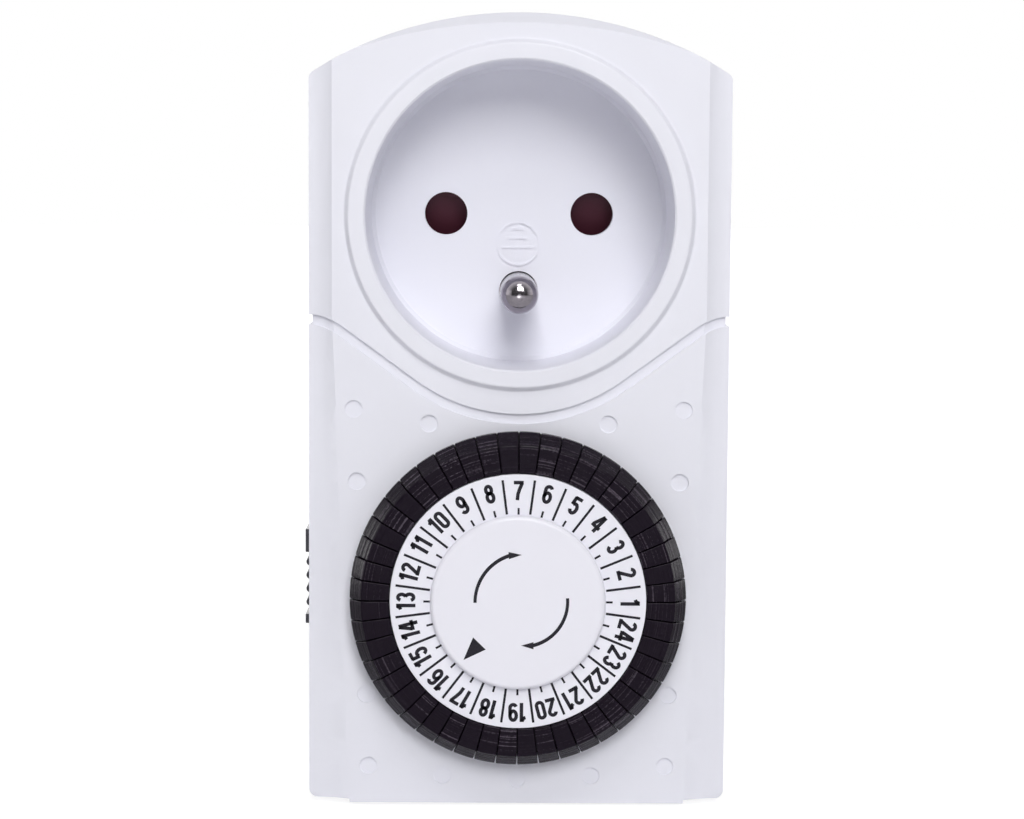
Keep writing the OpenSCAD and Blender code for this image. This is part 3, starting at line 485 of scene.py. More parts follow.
# Black nylon tappets: brownish black, with milling lines in relief and a painted highlight on their
# high ridges.
TAPPET_NYLON = ToolMarkedPlastic(
    name="black_nylon_tool_marked", colour="#150c19", roughness=0.22, slot=Slot.BLACK
)
# Black nylon of the drum between the tappets: plain, satin, seen only as thin dark lines.
DRUM_NYLON = MouldedPlastic(
    name="black_nylon_satin",
    colour="#151118",
    flow_colour="#1b161e",
    roughness=0.4,
    slot=Slot.BLACK,
)
# Dark grey ABS of the slide switch: satin, with polished rib tops.
SLIDER_ABS = MouldedPlastic(
    name="grey_abs_satin",
    colour="#47464e",
    flow_colour="#3b3a41",
    roughness=0.4,
    slot=Slot.GREY,
)
# Maroon polypropylene of the shutter: dark and waxy, seen only through the holes.
SHUTTER_PP = MouldedPlastic(
    name="maroon_polypropylene",
    colour="#4e1a2c",
    flow_colour="#451626",
    roughness=0.6,
    slot=Slot.MAROON,
)
# Sintered ferrite of the rotor: dull charcoal with a gritty face.
ROTOR_FERRITE = MouldedPlastic(
    name="sintered_ferrite",
    colour="#2b2b2d",
    flow_colour="#222224",
    roughness=0.7,
    grain_mm=0.2,
    grain_depth_mm=0.02,
    slot=Slot.FERRITE,
)
# Nickel-plated brass of the pins: bright, with turning marks round the shank.
NICKEL_PLATE = Metal(
    name="nickel_plated_brass",
    colour="#b9b3ba",
    dark_colour="#7f7980",
    roughness=0.13,
    scratch_mm=(2.0, 0.15, 2.0),
    slot=Slot.NICKEL,
)
# Zinc-plated steel of screws, strap and motor can: cool grey, faintly brushed.
ZINC_STEEL = Metal(
    name="zinc_plated_steel",
    colour="#bfc2c6",
    dark_colour="#8d9196",
    roughness=0.34,
    slot=Slot.ZINC,
)
# Spring steel of arbors and return spring: darker, drawn along its length.
SPRING_STEEL = Metal(
    name="drawn_spring_steel",
    colour="#9a9da3",
    dark_colour="#63666c",
    roughness=0.3,
    slot=Slot.SPRING,
)
# Rolled brass of sleeves and blade: warm yellow with rolling lines.
CONTACT_BRASS = Metal(
    name="rolled_brass", colour="#d8b566", dark_colour="#a5803a", roughness=0.3, slot=Slot.BRASS
)
# Rolled copper of the bars: reddish, a little dull from handling.
BAR_COPPER = Metal(
    name="rolled_copper", colour="#cf8257", dark_colour="#96512f", roughness=0.33, slot=Slot.COPPER
)
# Enamelled magnet wire: deep glossy copper in close turns.
MAGNET_WIRE = Winding(
    name="enamelled_copper_wire", colour="#b8572a", roughness=0.25, slot=Slot.COPPER
)
# Pad-printing ink of the numbers: matt blue-black.
DIAL_INK = PadInk(name="pad_printed_black_ink", colour="#17141b", roughness=0.6, slot=Slot.BLACK)


# --------------------------------------------------------------------------- meshes

# Corners nearer than this are one corner, and faces that turn less than this are one face
WELD_MM = 0.0005
FLAT_DEG = 0.6
# Edges above this angle are rounded and stay crisp
SHARP_DEG = 32.0
# How much each moulding's edge is broken along a parting line
PARTING_BREAK_MM = 0.13


def place_upright(depth_mm: float, centre_mm: Point) -> Matrix:
    """Stands a flat sketch in millimetres up in the part's frame.

    Args:
        depth_mm: how far in front of the plug's face the sketch lies.
        centre_mm: where the sketch's origin goes, across and up.

    Returns:
        The matrix from the sketch, facing +Z, to metres, facing -Y.
    """
    move = Matrix.Translation(Vector((centre_mm[0], -depth_mm, centre_mm[1])) * MM)
    return move @ Matrix.Rotation(math.pi / 2, 4, "X") @ Matrix.Scale(MM, 4)


def add_object(name: str, data: bpy.types.ID) -> bpy.types.Object:
    """Adds an object to the scene.

    Args:
        name: the object's name.
        data: its mesh, lamp or camera.

    Returns:
        The new object.
    """
    added = bpy.data.objects.new(name, data)
    bpy.context.scene.collection.objects.link(added)
    return added


def new_piece(name: str, mesh: bpy.types.Mesh, finish: Finish, body: str) -> bpy.types.Object:
    """Makes a piece of a finished mesh, dresses it and puts it on its body.

    Args:
        name: the piece's name.
        mesh: its mesh, already in the part's frame.
        finish: its finish.
        body: the body that it moves with.

    Returns:
        The new object.
    """
    mesh.name = name
    mesh.materials.clear()
    mesh.materials.append(finish.material())
    piece = add_object(name, mesh)
    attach(piece, body)
    log.info("%s: %d faces on %s", name, len(mesh.polygons), body)
    return piece


def dress(node: str, finish: Finish) -> None:
    """Gives a CAD node its finish, and leaves its shape alone.

    Args:
        node: the CAD node's name.
        finish: its finish.
    """
    mesh = frame["nodes"][node].data
    mesh.materials.clear()
    mesh.materials.append(finish.material())
    log.info("%s: kept, in %s", node, finish.name)


def open_parting(bm: bmesh.types.BMesh, depth_mm: float, width_mm: float) -> None:
    """Breaks the outer edges along a parting plane, so that the joint reads as a fine line.

    Args:
        bm: the moulding's mesh.
        depth_mm: how far in front of the plug's face the plane lies.
        width_mm: how much each moulding's edge is broken.
    """
    # How near the plane an edge lies, and how far inside the moulding's reach it may be
    near, inside = 0.01 * MM, 0.3 * MM
    level_least, upright_most = 0.99, 0.2
    corners = [vert.co.copy() for vert in bm.verts]
    edges = []
    for edge in bm.edges:
        if len(edge.link_faces) != 2:
            continue
        if any(abs(vert.co.y + depth_mm * MM) > near for vert in edge.verts):
            continue
        level, side = sorted(edge.link_faces, key=lambda face: -abs(face.normal.y))
        if abs(level.normal.y) < level_least or abs(side.normal.y) > upright_most:
            continue
        reach = edge.verts[0].co.dot(side.normal)
        if max(corner.dot(side.normal) for corner in corners) < reach + inside:
            edges.append(edge)
    bmesh.ops.bevel(
        bm,
        geom=edges,
        offset=width_mm * MM,
        offset_type="OFFSET",
        segments=1,
        profile=0.5,
        affect="EDGES",
        clamp_overlap=False,
    )
    log.info("parting line: %d edges broken", len(edges))


def refine(node: str, finish: Finish, edge_mm: float, parting_mm: float | None = None) -> None:
    """Replaces a CAD node by a copy with rounded edges and smooth round faces.

    Args:
        node: the CAD node's name.
        finish: its finish.
        edge_mm: the radius its moulded edges get.
        parting_mm: the depth of the plane along which its outer edges are broken.
    """
    source = frame["nodes"][node]
    bm = bmesh.new()
    bm.from_mesh(source.data)
    bmesh.ops.remove_doubles(bm, verts=bm.verts, dist=WELD_MM * MM)
    bmesh.ops.dissolve_limit(
        bm, angle_limit=math.radians(FLAT_DEG), verts=bm.verts, edges=bm.edges, delimit=set()
    )
    if parting_mm is not None:
        open_parting(bm, parting_mm, PARTING_BREAK_MM)
    for face in bm.faces:
        face.smooth = True
    mesh = bpy.data.meshes.new(node + "_skin")
    bm.to_mesh(mesh)
    bm.free()
    mesh.set_sharp_from_angle(angle=math.radians(SHARP_DEG))
    piece = add_object(node + "_skin", mesh)
    bevel = piece.modifiers.new("edges", "BEVEL")
    bevel.width = edge_mm * MM
    bevel.segments = 2
    bevel.limit_method = "ANGLE"
    bevel.angle_limit = math.radians(SHARP_DEG)
    bevel.use_clamp_overlap = True
    bevel.miter_outer = "MITER_ARC"
    weighted = piece.modifiers.new("normals", "WEIGHTED_NORMAL")
    weighted.keep_sharp = False
    weighted.weight = 60
    refined = new_piece(node + "_moulded", finished_mesh(piece), finish, source["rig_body"])
    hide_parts(node)


def finished_mesh(piece: bpy.types.Object) -> bpy.types.Mesh:
    """Applies a helper object's modifiers and removes the object.

    Args:
        piece: the helper object.

    Returns:
        Its finished mesh.
    """
    bpy.context.view_layer.update()
    graph = bpy.context.evaluated_depsgraph_get()
    mesh = bpy.data.meshes.new_from_object(
        piece.evaluated_get(graph), preserve_all_data_layers=True, depsgraph=graph
    )
    piece.modifiers.clear()
    bpy.data.objects.remove(piece)
    return mesh


def prism(outlines: Iterable[Sequence[Point]], thickness_mm: float) -> bpy.types.Mesh:
    """Raises flat outlines, drawn counter-clockwise in millimetres, into thin closed solids.

    Args:
        outlines: the outlines.
        thickness_mm: how far they rise along +Z.

    Returns:
        One mesh of all the solids.
    """
    bm = bmesh.new()
    for outline in outlines:
        low = [bm.verts.new((x, y, 0.0)) for x, y in outline]
        high = [bm.verts.new((x, y, thickness_mm)) for x, y in outline]
        bm.faces.new(high)
        bm.faces.new(list(reversed(low)))
        for i, corner in enumerate(low):
            after = (i + 1) % len(low)
            bm.faces.new((corner, low[after], high[after], high[i]))
    bmesh.ops.recalc_face_normals(bm, faces=bm.faces)
    mesh = bpy.data.meshes.new("print")
    bm.to_mesh(mesh)
    bm.free()
    return mesh


# --------------------------------------------------------------------------- printed strokes


def arc(
    centre: Point, reach: Point, start_deg: float, end_deg: float, steps: int = 12
) -> list[Point]:
    """Returns points along a part of an ellipse.

    Args:
        centre: the ellipse's centre.
        reach: its half width and half height.
        start_deg: where the part starts, counter-clockwise from the right.
        end_deg: where it ends.
        steps: how many pieces it is cut into.

    Returns:
        The points.
    """
    span = end_deg - start_deg
    turns = (math.radians(start_deg + span * k / steps) for k in range(steps + 1))
    return [(centre[0] + reach[0] * math.cos(a), centre[1] + reach[1] * math.sin(a)) for a in turns]


def ribbon(path: Sequence[Point], width: float) -> list[list[Point]]:
    """Widens a line into short quads that share their mitred ends.

    Args:
        path: the line's points, closed where the last repeats the first.
        width: its width.

    Returns:
        The quads' outlines.
    """
    same_point, sharpest_mitre = 1e-6, 0.4
    points = [Vector(p) for p in path]
    closed = (points[0] - points[-1]).length < same_point
    sides = []
    for k, point in enumerate(points):
        before = points[k - 1] if k else (points[-2] if closed else None)
        after = points[k + 1] if k + 1 < len(points) else (points[1] if closed else None)
        into = (point - before).normalized() if before else (after - point).normalized()
        out = (after - point).normalized() if after else into
        across = Vector((-(into + out).y, (into + out).x)).normalized()
        half = width / 2 / max(abs(across.cross(into)), sharpest_mitre)
        sides.append((point - across * half, point + across * half))
    return [
        [tuple(a[0]), tuple(b[0]), tuple(b[1]), tuple(a[1])] for a, b in zip(sides, sides[1:])
    ]


def circle_centre(first: Point, second: Point, third: Point) -> Point:
    """Finds the centre of the circle through three points.

    Args:
        first: a point on the circle.
        second: another.
        third: a third one, not in line with them.

    Returns:
        The centre.
    """
    (ax, ay), (bx, by), (cx, cy) = first, second, third
    a2, b2, c2 = ax**2 + ay**2, bx**2 + by**2, cx**2 + cy**2
    d = 2 * (ax * (by - cy) + bx * (cy - ay) + cx * (ay - by))
    x = (a2 * (by - cy) + b2 * (cy - ay) + c2 * (ay - by)) / d
    y = (a2 * (cx - bx) + b2 * (ax - cx) + c2 * (bx - ax)) / d
    return x, y


def stroke(
    tail: Point, middle: Point, neck: Point, thin: float, thick: float, steps: int = 20
) -> list[list[Point]]:
    """Draws a stroke along the circle through three points.

    Args:
        tail: where the stroke starts.
        middle: a point that it passes.
        neck: where it ends.
        thin: its width at the start.
        thick: its width at the end.
        steps: how many quads it is cut into.

    Returns:
        The stroke's outline, cut into short quads.
    """
    x, y = circle_centre(tail, middle, neck)
    radius = math.hypot(tail[0] - x, tail[1] - y)
    start = math.atan2(tail[1] - y, tail[0] - x)
    end = math.atan2(neck[1] - y, neck[0] - x)
    turn = (end - start + math.pi) % (2 * math.pi) - math.pi
    quads = []
    for k in range(steps):
        quad = []
        for s, side in ((k, -1), (k, 1), (k + 1, 1), (k + 1, -1)):
            angle = start + turn * s / steps
            reach = radius + side * (thin + (thick - thin) * s / steps) / 2
            quad.append((x + reach * math.cos(angle), y + reach * math.sin(angle)))
        quads.append(quad)
    return quads


class Digit(Enum):
    """The dial's figures, each the centre lines of its strokes in millimetres, and its width."""

    N0 = (
        1.12,
        [
            arc((0, 0.54), (0.36, 0.36), 0, 180)
            + arc((0, -0.54), (0.36, 0.36), 180, 360)
            + [(0.36, 0.54)]
        ],
    )
    N1 = (0.78, [[(0.17, -1.1), (0.17, 1.1)], [(-0.3, 0.58), (-0.08, 0.66), (0.1, 1.02)]])
    N2 = (
        1.12,
        [
            arc((0, 0.53), (0.36, 0.37), 172, -38) + [(-0.34, -0.86)],
            [(-0.56, -0.9), (0.56, -0.9)],
        ],
    )
    N3 = (1.12, [arc((0, 0.46), (0.34, 0.44), 160, -84), arc((0, -0.43), (0.36, 0.47), 84, -160)])
    N4 = (
        1.16,
        [
            [(0.12, 1.1), (-0.4, -0.36)],
            [(-0.56, -0.42), (0.6, -0.42)],
            [(0.22, 1.1), (0.22, -1.1)],
        ],
    )
    N5 = (
        1.12,
        [
            [(-0.36, 0.9), (0.5, 0.9)],
            [(-0.27, 1.0), (-0.36, 0.02)],
            arc((0, -0.34), (0.36, 0.56), 138, -158),
        ],
    )
    N6 = (
        1.12,
        [
            arc((0, -0.37), (0.36, 0.53), 0, 360, 20),
            arc((0, 0.52), (0.36, 0.38), 22, 180) + [(-0.36, -0.37)],
        ],
    )
    N7 = (
        1.12,
        [[(-0.56, 0.9), (0.56, 0.9)], [(0.4, 0.86), (0.12, 0.2), (-0.08, -0.4), (-0.15, -1.1)]],
    )
    N8 = (
        1.12,
        [arc((0, 0.47), (0.32, 0.43), 0, 360, 20), arc((0, -0.41), (0.36, 0.49), 0, 360, 20)],
    )
    N9 = (
        1.12,
        [
            arc((0, 0.37), (0.36, 0.53), 0, 360, 20),
            arc((0, -0.52), (0.36, 0.38), 202, 360) + [(0.36, 0.37)],
        ],
    )

    def __init__(self, width: float, paths: list[list[Point]]) -> None:
        """Keeps the figure's width and its strokes."""
        self.width = width
        self.paths = paths


# --------------------------------------------------------------------------- sub-assemblies


@dataclass
class Covers:
    """The three mouldings of the body and the socket's raised earth sign."""

    edge_mm: float = 0.22
    # How far in front of the plug's face the mouldings meet and the recess has its floor
    parting_mm: float = 31.0
    floor_mm: float = 33.8
    sign_centre_mm: Point = (-0.1, -3.9)
    sign_radius_mm: float = 2.75
    sign_line_mm: float = 0.26
    # The bars' widths, lower edges and upper edges; the stem hangs from the first
    sign_bars_mm: tuple[tuple[float, float, float], ...] = (
        (4.0, -0.6, -0.34),
        (2.3, 0.6, 0.86),
        (1.6, 1.8, 2.06),
    )
    # Keeps the stem's face off the ring's, which lies at the same height
    stem_gap_mm: float = 0.01
    ring_steps: int = 48
    relief_mm: float = 0.18
    # How far the sign's back is sunk into the floor
    sunk_mm: float = 0.02

    def build(self) -> None:
        """Rounds the covers' edges and adds the sign on the recess floor."""
        for node in ("socket_cover", "dial_cover", "rear_cover"):
            refine(node, HOUSING_ABS, self.edge_mm, parting_mm=self.parting_mm)
        mesh = self.earth_sign()
        mesh.transform(place_upright(self.floor_mm - self.sunk_mm, self.sign_centre_mm))
        new_piece("recess_earth_sign", mesh, HOUSING_ABS, "housing")

    def earth_sign(self) -> bpy.types.Mesh:
        """Draws the generic protective-earth sign: a ring, a stem and three bars.

        Returns:
            The sign as a mesh in millimetres, facing +Z.
        """
        half = self.sign_line_mm / 2
        inner, outer = self.sign_radius_mm - half, self.sign_radius_mm + half
        parts = []
        for k in range(self.ring_steps):
            start, end = (2 * math.pi * (k + s) / self.ring_steps for s in (0, 1))
            corners = ((inner, start), (outer, start), (outer, end), (inner, end))
            parts.append([(r * math.cos(a), r * math.sin(a)) for r, a in corners])
        stem_low = half - self.sign_radius_mm + self.stem_gap_mm
        stem = (self.sign_line_mm, stem_low, self.sign_bars_mm[0][1])
        for width, low, high in (stem, *self.sign_bars_mm):
            side = width / 2
            parts.append([(-side, low), (side, low), (side, high), (-side, high)])
        return prism(parts, self.relief_mm)


@dataclass
class PrintedDial:
    """The number ring and centre cap, with everything printed on them."""

    centre_mm: Point = DIAL_CENTRE_MM
    # How far in front of the plug's face the ring's and the cap's faces lie
    ring_mm: float = 52.9
    cap_mm: float = 54.0
    ink_mm: float = 0.02
    top_hour: int = 7
    digit_radius_mm: float = 14.02
    digit_size: float = 1.1
    digit_stroke_mm: float = 0.44
    digit_gap_mm: float = 0.18
    # Inner radius, outer radius and width of the lines between hours and of the ticks
    line_mm: tuple[float, float, float] = (11.1, 15.43, 0.3)
    tick_mm: tuple[float, float, float] = (11.0, 11.83, 0.26)
    # Each arrow's tail, a point on its way, its neck and its tip, and its widths
    arrows_mm: tuple[tuple[Point, Point, Point, Point], ...] = (
        ((-5.36, 0.05), (-4.57, 3.15), (-1.15, 5.98), (0.43, 6.1)),
        ((6.15, 0.68), (5.35, -2.75), (1.9, -5.3), (0.41, -5.32)),
    )
    arrow_thin_mm: float = 0.4
    arrow_thick_mm: float = 0.46
    # How far an arrow's head reaches to its two sides and back over the stroke
    head_sides_mm: tuple[float, float] = (0.42, 0.48)
    head_lap_mm: float = 0.05
    pointer_mm: tuple[Point, Point, Point] = ((-5.58, -4.31), (-6.77, -7.17), (-4.0, -5.84))
    edge_mm: float = 0.12

    def build(self) -> None:
        """Rounds the ring, cap and drum and prints the numbers, marks, arrows and pointer."""
        refine("number_ring", DIAL_POM, self.edge_mm)
        refine("centre_cap", DIAL_POM, self.edge_mm)
        refine("dial_wheel", DRUM_NYLON, self.edge_mm)
        outlines = [o for hour in range(1, HOURS + 1) for o in self.number(hour)]
        numbers = prism(outlines, self.ink_mm)
        numbers.transform(place_upright(self.ring_mm - self.ink_mm / 2, self.centre_mm))
        new_piece("hour_numbers", numbers, DIAL_INK, "dial")
        self.marks("hour_lines", self.line_mm, 180.0 / HOURS)
        self.marks("half_hour_ticks", self.tick_mm, 0.0)
        arrows = prism([*self.arrow_outlines(), self.pointer_mm], self.ink_mm)
        arrows.transform(place_upright(self.cap_mm - self.ink_mm / 2, self.centre_mm))
        new_piece("turning_arrows", arrows, DIAL_INK, "housing")

    def hour_angle(self, hour: int) -> float:
        """Returns an hour's direction in radians, counter-clockwise from the right."""
        return math.radians(90 + (hour - self.top_hour) * 360 / HOURS)

    def number(self, hour: int) -> list[list[Point]]:
        """Draws one hour's number, its top outwards, at its place round the axis.

        Args:
            hour: the number to print.

        Returns:
            The outlines of its strokes in millimetres about the dial's axis.
        """
        glyphs = [Digit[f"N{figure}"] for figure in str(hour)]
        size = self.digit_size
        total = sum(g.width * size for g in glyphs) + self.digit_gap_mm * (len(glyphs) - 1)
        turn = Matrix.Rotation(self.hour_angle(hour) - math.pi / 2, 2)
        outlines = []
        left = -total / 2
        for glyph in glyphs:
            place = Vector((left + glyph.width * size / 2, self.digit_radius_mm))
            for path in glyph.paths:
                for outline in ribbon(path, self.digit_stroke_mm / size):
                    outlines.append([tuple(turn @ (Vector(p) * size + place)) for p in outline])
            left += glyph.width * size + self.digit_gap_mm
        return outlines

    def marks(self, name: str, reach_mm: tuple[float, float, float], start_deg: float) -> None:
        """Prints a ring of radial lines with Geometry Nodes.

        Args:
            name: the piece's name.
            reach_mm: the lines' inner radius, outer radius and width.
            start_deg: the first line's direction.
        """
        holder = add_object(name + "_maker", bpy.data.meshes.new(name + "_maker"))
        modifier = holder.modifiers.new("marks", "NODES")
        modifier.node_group = tree = radial_marks_tree()
        values = {
            "Count": HOURS,
            "Inner Radius": reach_mm[0] * MM,
            "Outer Radius": reach_mm[1] * MM,
            "Width": reach_mm[2] * MM,
            "Thickness": self.ink_mm * MM,
            "Start Angle": math.radians(start_deg),
            "Centre": (self.centre_mm[0] * MM, -self.ring_mm * MM, self.centre_mm[1] * MM),
            "Ink": DIAL_INK.material(),
        }
        sockets = {
            s.name: s.identifier for s in tree.interface.items_tree if s.in_out == "INPUT"
        }
        for label, value in values.items():
            modifier[sockets[label]] = value
        new_piece(name, finished_mesh(holder), DIAL_INK, "dial")

    def arrow_outlines(self) -> list[list[Point]]:
        """Draws the two turning arrows, each a curved stroke with a head.

        Returns:
            The strokes' and heads' outlines in millimetres about the dial's axis.
        """
        outlines = []
        right, left = self.head_sides_mm
        for tail, middle, neck, tip in self.arrows_mm:
            outlines += stroke(tail, middle, neck, self.arrow_thin_mm, self.arrow_thick_mm)
            along = (Vector(tip) - Vector(neck)).normalized()
            across = Vector((-along.y, along.x))
            base = Vector(neck) - along * self.head_lap_mm
            head = [base - across * right, Vector(tip), base + across * left]
            outlines.append([tuple(p) for p in head])
        return outlines


@lru_cache(maxsize=None)
def radial_marks_tree() -> bpy.types.NodeTree:
    """Builds the Geometry Nodes tree that sets thin bars round an upright circle.

    Returns:
        The tree, the same one at each call.
    """
    tree = bpy.data.node_groups.new("radial_marks", "GeometryNodeTree")
    for label, kind in {
        "Count": "Int",
        "Inner Radius": "Float",
        "Outer Radius": "Float",
        "Width": "Float",
        "Thickness": "Float",
        "Start Angle": "Float",
        "Centre": "Vector",
        "Ink": "Material",
    }.items():
        tree.interface.new_socket(label, in_out="INPUT", socket_type=f"NodeSocket{kind}")
    tree.interface.new_socket("Geometry", in_out="OUTPUT", socket_type="NodeSocketGeometry")
    sizes = add_node(tree, "NodeGroupInput").outputs
    reach, total = (
        add_node(
            tree,
            "ShaderNodeMath",
            {0: sizes["Outer Radius"], 1: sizes["Inner Radius"]},
            operation=operation,
        ).outputs[0]
        for operation in ("SUBTRACT", "ADD")
    )
    middle = add_node(tree, "ShaderNodeMath", {0: total, 1: 0.5}, operation="MULTIPLY")
    size = add_node(
        tree, "ShaderNodeCombineXYZ", {"X": reach, "Y": sizes["Width"], "Z": sizes["Thickness"]}
    )
    bar = add_node(tree, "GeometryNodeMeshCube", {"Size": size.outputs["Vector"]})
    circle = add_node(
        tree, "GeometryNodeMeshCircle", {"Vertices": sizes["Count"], "Radius": middle.outputs[0]}
    )
    place = add_node(tree, "GeometryNodeInputPosition")
    facing = add_node(
        tree, "FunctionNodeAlignRotationToVector", {"Vector": place.outputs["Position"]}, axis="X"
    )
    bars = add_node(
        tree,
        "GeometryNodeInstanceOnPoints",
        {
            "Points": circle.outputs["Mesh"],
            "Instance": bar.outputs["Mesh"],
            "Rotation": facing.outputs["Rotation"],
        },
    )
    spin = add_node(tree, "ShaderNodeCombineXYZ", {"Z": sizes["Start Angle"]})
    turned = add_node(
        tree,
        "GeometryNodeTransform",
        {"Geometry": bars.outputs["Instances"], "Rotation": spin.outputs["Vector"]},
    )
    upright = add_node(
        tree,
        "GeometryNodeTransform",
        {
            "Geometry": turned.outputs["Geometry"],
            "Translation": sizes["Centre"],
            "Rotation": (math.pi / 2, 0.0, 0.0),
        },
    )
    real = add_node(
        tree, "GeometryNodeRealizeInstances", {"Geometry": upright.outputs["Geometry"]}
    )
    inked = add_node(
        tree,
        "GeometryNodeSetMaterial",
        {"Geometry": real.outputs["Geometry"], "Material": sizes["Ink"]},
    )
    add_node(tree, "NodeGroupOutput", {"Geometry": inked.outputs["Geometry"]})
    return tree


@dataclass
class TappetRing:
    """The 48 captive tappets round the dial, two to each printed hour."""

    edge_mm: float = 0.13

    def build(self) -> None:
        """Rounds and dresses every pair of tappets."""
        for hour in range(1, HOURS + 1):
            refine(f"tappets_{hour:02d}", TAPPET_NYLON, self.edge_mm)


@dataclass
class Mechanism:
    """The pins, the slide switch, the spring and all that keeps its CAD shape inside."""

    pin_edge_mm: float = 0.05
    slider_edge_mm: float = 0.12
    # What is left of the spring's length when the shutter is all the way up
    spring_keep: float = 0.31
    finishes: dict[str, Finish] = field(
        default_factory=lambda: {
            "cover_screws": ZINC_STEEL,
            "shutter": SHUTTER_PP,
            "contact_carrier": IVORY_NYLON,
            "contact_sleeves": CONTACT_BRASS,
            "earth_bridge": ZINC_STEEL,
            "rear_earth_sleeve": CONTACT_BRASS,
            "line_bar": BAR_COPPER,
            "switched_bar": BAR_COPPER,
            "neutral_bar": BAR_COPPER,
            "front_plate": IVORY_NYLON,
            "back_plate": IVORY_NYLON,
            "plate_pillars": ZINC_STEEL,
            "gear_arbors": SPRING_STEEL,
            "coil": MAGNET_WIRE,
            "bobbin": DIAL_POM,
            "stator_cup": ZINC_STEEL,
            "stator_plate": ZINC_STEEL,
            "rotor": ROTOR_FERRITE,
            "gear_1": IVORY_NYLON,
            "gear_2": IVORY_NYLON,
            "gear_3": IVORY_NYLON,
            "gear_4": IVORY_NYLON,
            "clutch_wheel": IVORY_NYLON,
            "clutch_pinion": CONTACT_BRASS,
            "switch_lever": TAPPET_NYLON,
            "moving_blade": CONTACT_BRASS,
        }
    )

    def build(self) -> None:
        """Dresses each inner piece and rounds the pins and the slide switch."""
        for node, finish in self.finishes.items():
            dress(node, finish)
        for node in ("plug_pins", "front_earth_pin"):
            refine(node, NICKEL_PLATE, self.pin_edge_mm)
        refine("override_slider", SLIDER_ABS, self.slider_edge_mm)
        self.spring()

    def spring(self) -> None:
        """Swaps the shutter's spring for a copy of it, a piece of its own on the same body."""
        source = frame["nodes"]["shutter_spring"]
        piece = new_piece(
            "shutter_spring_coil", source.data.copy(), SPRING_STEEL, source["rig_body"]
        )
        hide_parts("shutter_spring")
        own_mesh(piece)


# --------------------------------------------------------------------------- camera and light


@dataclass(frozen=True)
class Softbox:
    """A square soft lamp that faces the body's middle."""

    name: str
    place_mm: tuple[float, float, float]
    side_mm: float
    watts: float
    aim_mm: tuple[float, float, float] = (0.0, -48.0, -25.0)

    def hang(self) -> None:
        """Adds the lamp to the scene."""
        data = bpy.data.lights.new(self.name, "AREA")
        data.size = self.side_mm * MM
        data.energy = self.watts
        lamp = add_object(self.name, data)
        place = Vector(self.place_mm) * MM
        aim = Vector(self.aim_mm) * MM - place
        turn = aim.to_track_quat("-Z", "Y").to_matrix().to_4x4()
        lamp.matrix_world = Matrix.Translation(place) @ turn


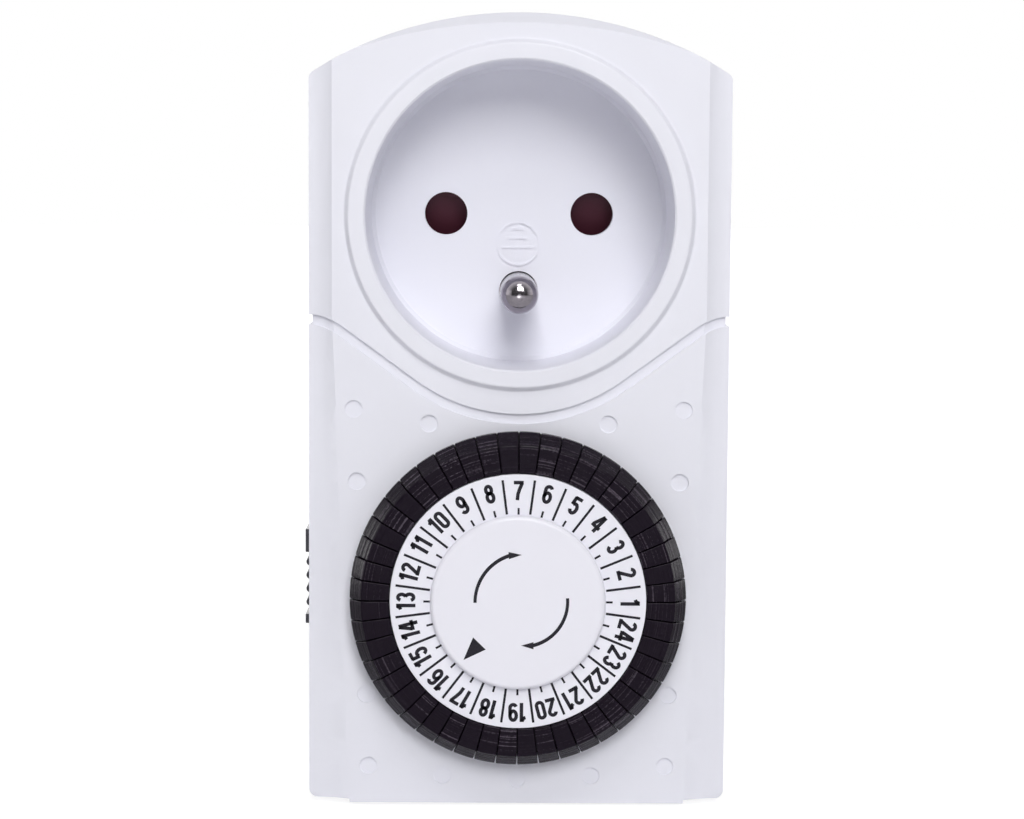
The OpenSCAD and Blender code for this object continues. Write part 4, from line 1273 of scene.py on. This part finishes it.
@dataclass
class Studio:
    """The camera, the soft lamps, the white room and its floor."""

    camera_mm: tuple[float, float, float] = (-3.53, -373.74, 6.39)
    forward: tuple[float, float, float] = (0.00816, 0.99555, -0.09386)
    roll: float = 0.0063
    focal_px: float = 2598.16
    width_px: int = 1024
    sensor_mm: float = 36.0
    # How strongly the room lights the object
    room_light: float = 0.03
    # How white reflections see the room in front of the object, and where that starts and ends
    front_white: float = 0.1
    front_from: float = -0.75
    front_to: float = -0.2
    floor_mm: float = -75.2
    # Half the floor's side
    floor_reach_mm: float = 3000.0
    # The floor's own white for the camera: its strength, its share under the object,
    # and the distances in metres between which the share grows to the whole
    floor_glow: float = 1.25
    floor_share: float = 0.7
    floor_from: float = 0.12
    floor_to: float = 0.4
    softboxes: tuple[Softbox, ...] = (
        Softbox("key_softbox", (90.0, -943.0, 515.0), 486.0, 6.3),
        Softbox("low_front_softbox", (0.0, -600.0, -75.0), 70.0, 0.08),
        Softbox("top_softbox", (0.0, -330.0, 400.0), 130.0, 0.5),
        Softbox("left_softbox", (-480.0, -330.0, 40.0), 360.0, 0.18),
        Softbox("right_softbox", (480.0, -330.0, 40.0), 360.0, 0.08),
        Softbox("rear_left_softbox", (-500.0, 260.0, 60.0), 300.0, 1.2),
        Softbox("rear_right_softbox", (500.0, 260.0, 60.0), 300.0, 1.2),
        Softbox("back_softbox", (0.0, 600.0, 60.0), 300.0, 0.8),
    )

    def build(self) -> None:
        """Sets up the view, the white room, the floor and the lamps."""
        self.camera()
        self.world()
        self.floor()
        for softbox in self.softboxes:
            softbox.hang()

    def camera(self) -> None:
        """Adds the camera, level with the socket and looking slightly down."""
        data = bpy.data.cameras.new("front_camera")
        data.sensor_fit = "HORIZONTAL"
        data.sensor_width = self.sensor_mm
        data.lens = self.focal_px / self.width_px * self.sensor_mm
        data.clip_start, data.clip_end = 0.01, 20.0
        camera = add_object("front_camera", data)
        ahead = Vector(self.forward).normalized()
        level = ahead.cross(Vector((0, 0, 1))).normalized()
        above = level.cross(ahead)
        right = level * math.cos(self.roll) + above * math.sin(self.roll)
        up = above * math.cos(self.roll) - level * math.sin(self.roll)
        turn = Matrix((right, up, -ahead)).transposed().to_4x4()
        camera.matrix_world = Matrix.Translation(Vector(self.camera_mm) * MM) @ turn
        bpy.context.scene.camera = camera

    def world(self) -> None:
        """Shows white to the camera and to gloss, dimmer in front, and lights the rest softly."""
        world = bpy.data.worlds.new("white_room")
        bpy.context.scene.world = world
        world.use_nodes = True
        tree = world.node_tree
        tree.nodes.clear()
        path = add_node(tree, "ShaderNodeLightPath").outputs
        seen = path["Is Camera Ray"]
        for ray in ("Is Glossy Ray", "Is Transmission Ray"):
            seen = add_node(
                tree, "ShaderNodeMath", {0: seen, 1: path[ray]}, operation="MAXIMUM"
            ).outputs[0]
        light = add_node(
            tree,
            "ShaderNodeBackground",
            {"Color": linear("#fbfbff"), "Strength": self.room_light},
        )
        place = add_node(tree, "ShaderNodeTexCoord").outputs["Generated"]
        axes = add_node(tree, "ShaderNodeSeparateXYZ", {"Vector": place})
        darker = add_node(
            tree,
            "ShaderNodeMapRange",
            {
                "Value": axes.outputs["Y"],
                "From Min": self.front_from,
                "From Max": self.front_to,
                "To Min": self.front_white,
            },
        )
        strength = add_node(
            tree,
            "ShaderNodeMath",
            {0: path["Is Camera Ray"], 1: darker.outputs["Result"]},
            operation="MAXIMUM",
        )
        white = add_node(
            tree,
            "ShaderNodeBackground",
            {"Color": linear("#ffffff"), "Strength": strength.outputs[0]},
        )
        mix = add_node(
            tree, "ShaderNodeMixShader", {0: seen, 1: light.outputs[0], 2: white.outputs[0]}
        )
        add_node(tree, "ShaderNodeOutputWorld", {"Surface": mix.outputs[0]})

    def floor(self) -> None:
        """Lays the pale floor, white but for the shadow and clear when seen from below."""
        mesh = bpy.data.meshes.new("studio_floor")
        reach, low = self.floor_reach_mm * MM, self.floor_mm * MM
        corners = [(x * reach, y * reach, low) for x, y in ((-1, -1), (1, -1), (1, 1), (-1, 1))]
        mesh.from_pydata(corners, [], [(0, 1, 2, 3)])
        material = bpy.data.materials.new("white_paper_floor")
        material.use_nodes = True
        tree = material.node_tree
        tree.nodes.clear()
        path = add_node(tree, "ShaderNodeLightPath")
        paper = add_node(tree, "ShaderNodeBsdfDiffuse", {"Color": linear("#f4f4f6")})
        glow = add_node(
            tree, "ShaderNodeEmission", {"Color": linear("#ffffff"), "Strength": self.floor_glow}
        )
        place = add_node(tree, "ShaderNodeTexCoord").outputs["Object"]
        away = add_node(tree, "ShaderNodeVectorMath", {0: place}, operation="LENGTH")
        fade = add_node(
            tree,
            "ShaderNodeMapRange",
            {
                "Value": away.outputs["Value"],
                "From Min": self.floor_from,
                "From Max": self.floor_to,
                "To Min": self.floor_share,
            },
        )
        share = add_node(
            tree,
            "ShaderNodeMath",
            {0: path.outputs["Is Camera Ray"], 1: fade.outputs["Result"]},
            operation="MULTIPLY",
        )
        mix = add_node(
            tree,
            "ShaderNodeMixShader",
            {0: share.outputs[0], 1: paper.outputs[0], 2: glow.outputs[0]},
        )
        below = add_node(tree, "ShaderNodeNewGeometry").outputs["Backfacing"]
        clear = add_node(tree, "ShaderNodeBsdfTransparent")
        sheet = add_node(
            tree, "ShaderNodeMixShader", {0: below, 1: mix.outputs[0], 2: clear.outputs[0]}
        )
        add_node(tree, "ShaderNodeOutputMaterial", {"Surface": sheet.outputs[0]})
        mesh.materials.append(material)
        floor = add_object("studio_floor", mesh)


def main() -> None:
    """Builds and dresses every sub-assembly."""
    logging.basicConfig(level=logging.INFO, format="%(name)s %(message)s")
    bpy.context.scene.view_settings.view_transform = "Standard"
    Mechanism().build()
    Covers().build()
    PrintedDial().build()
    TappetRing().build()
    Studio().build()


if __name__ == "__main__":
    main()
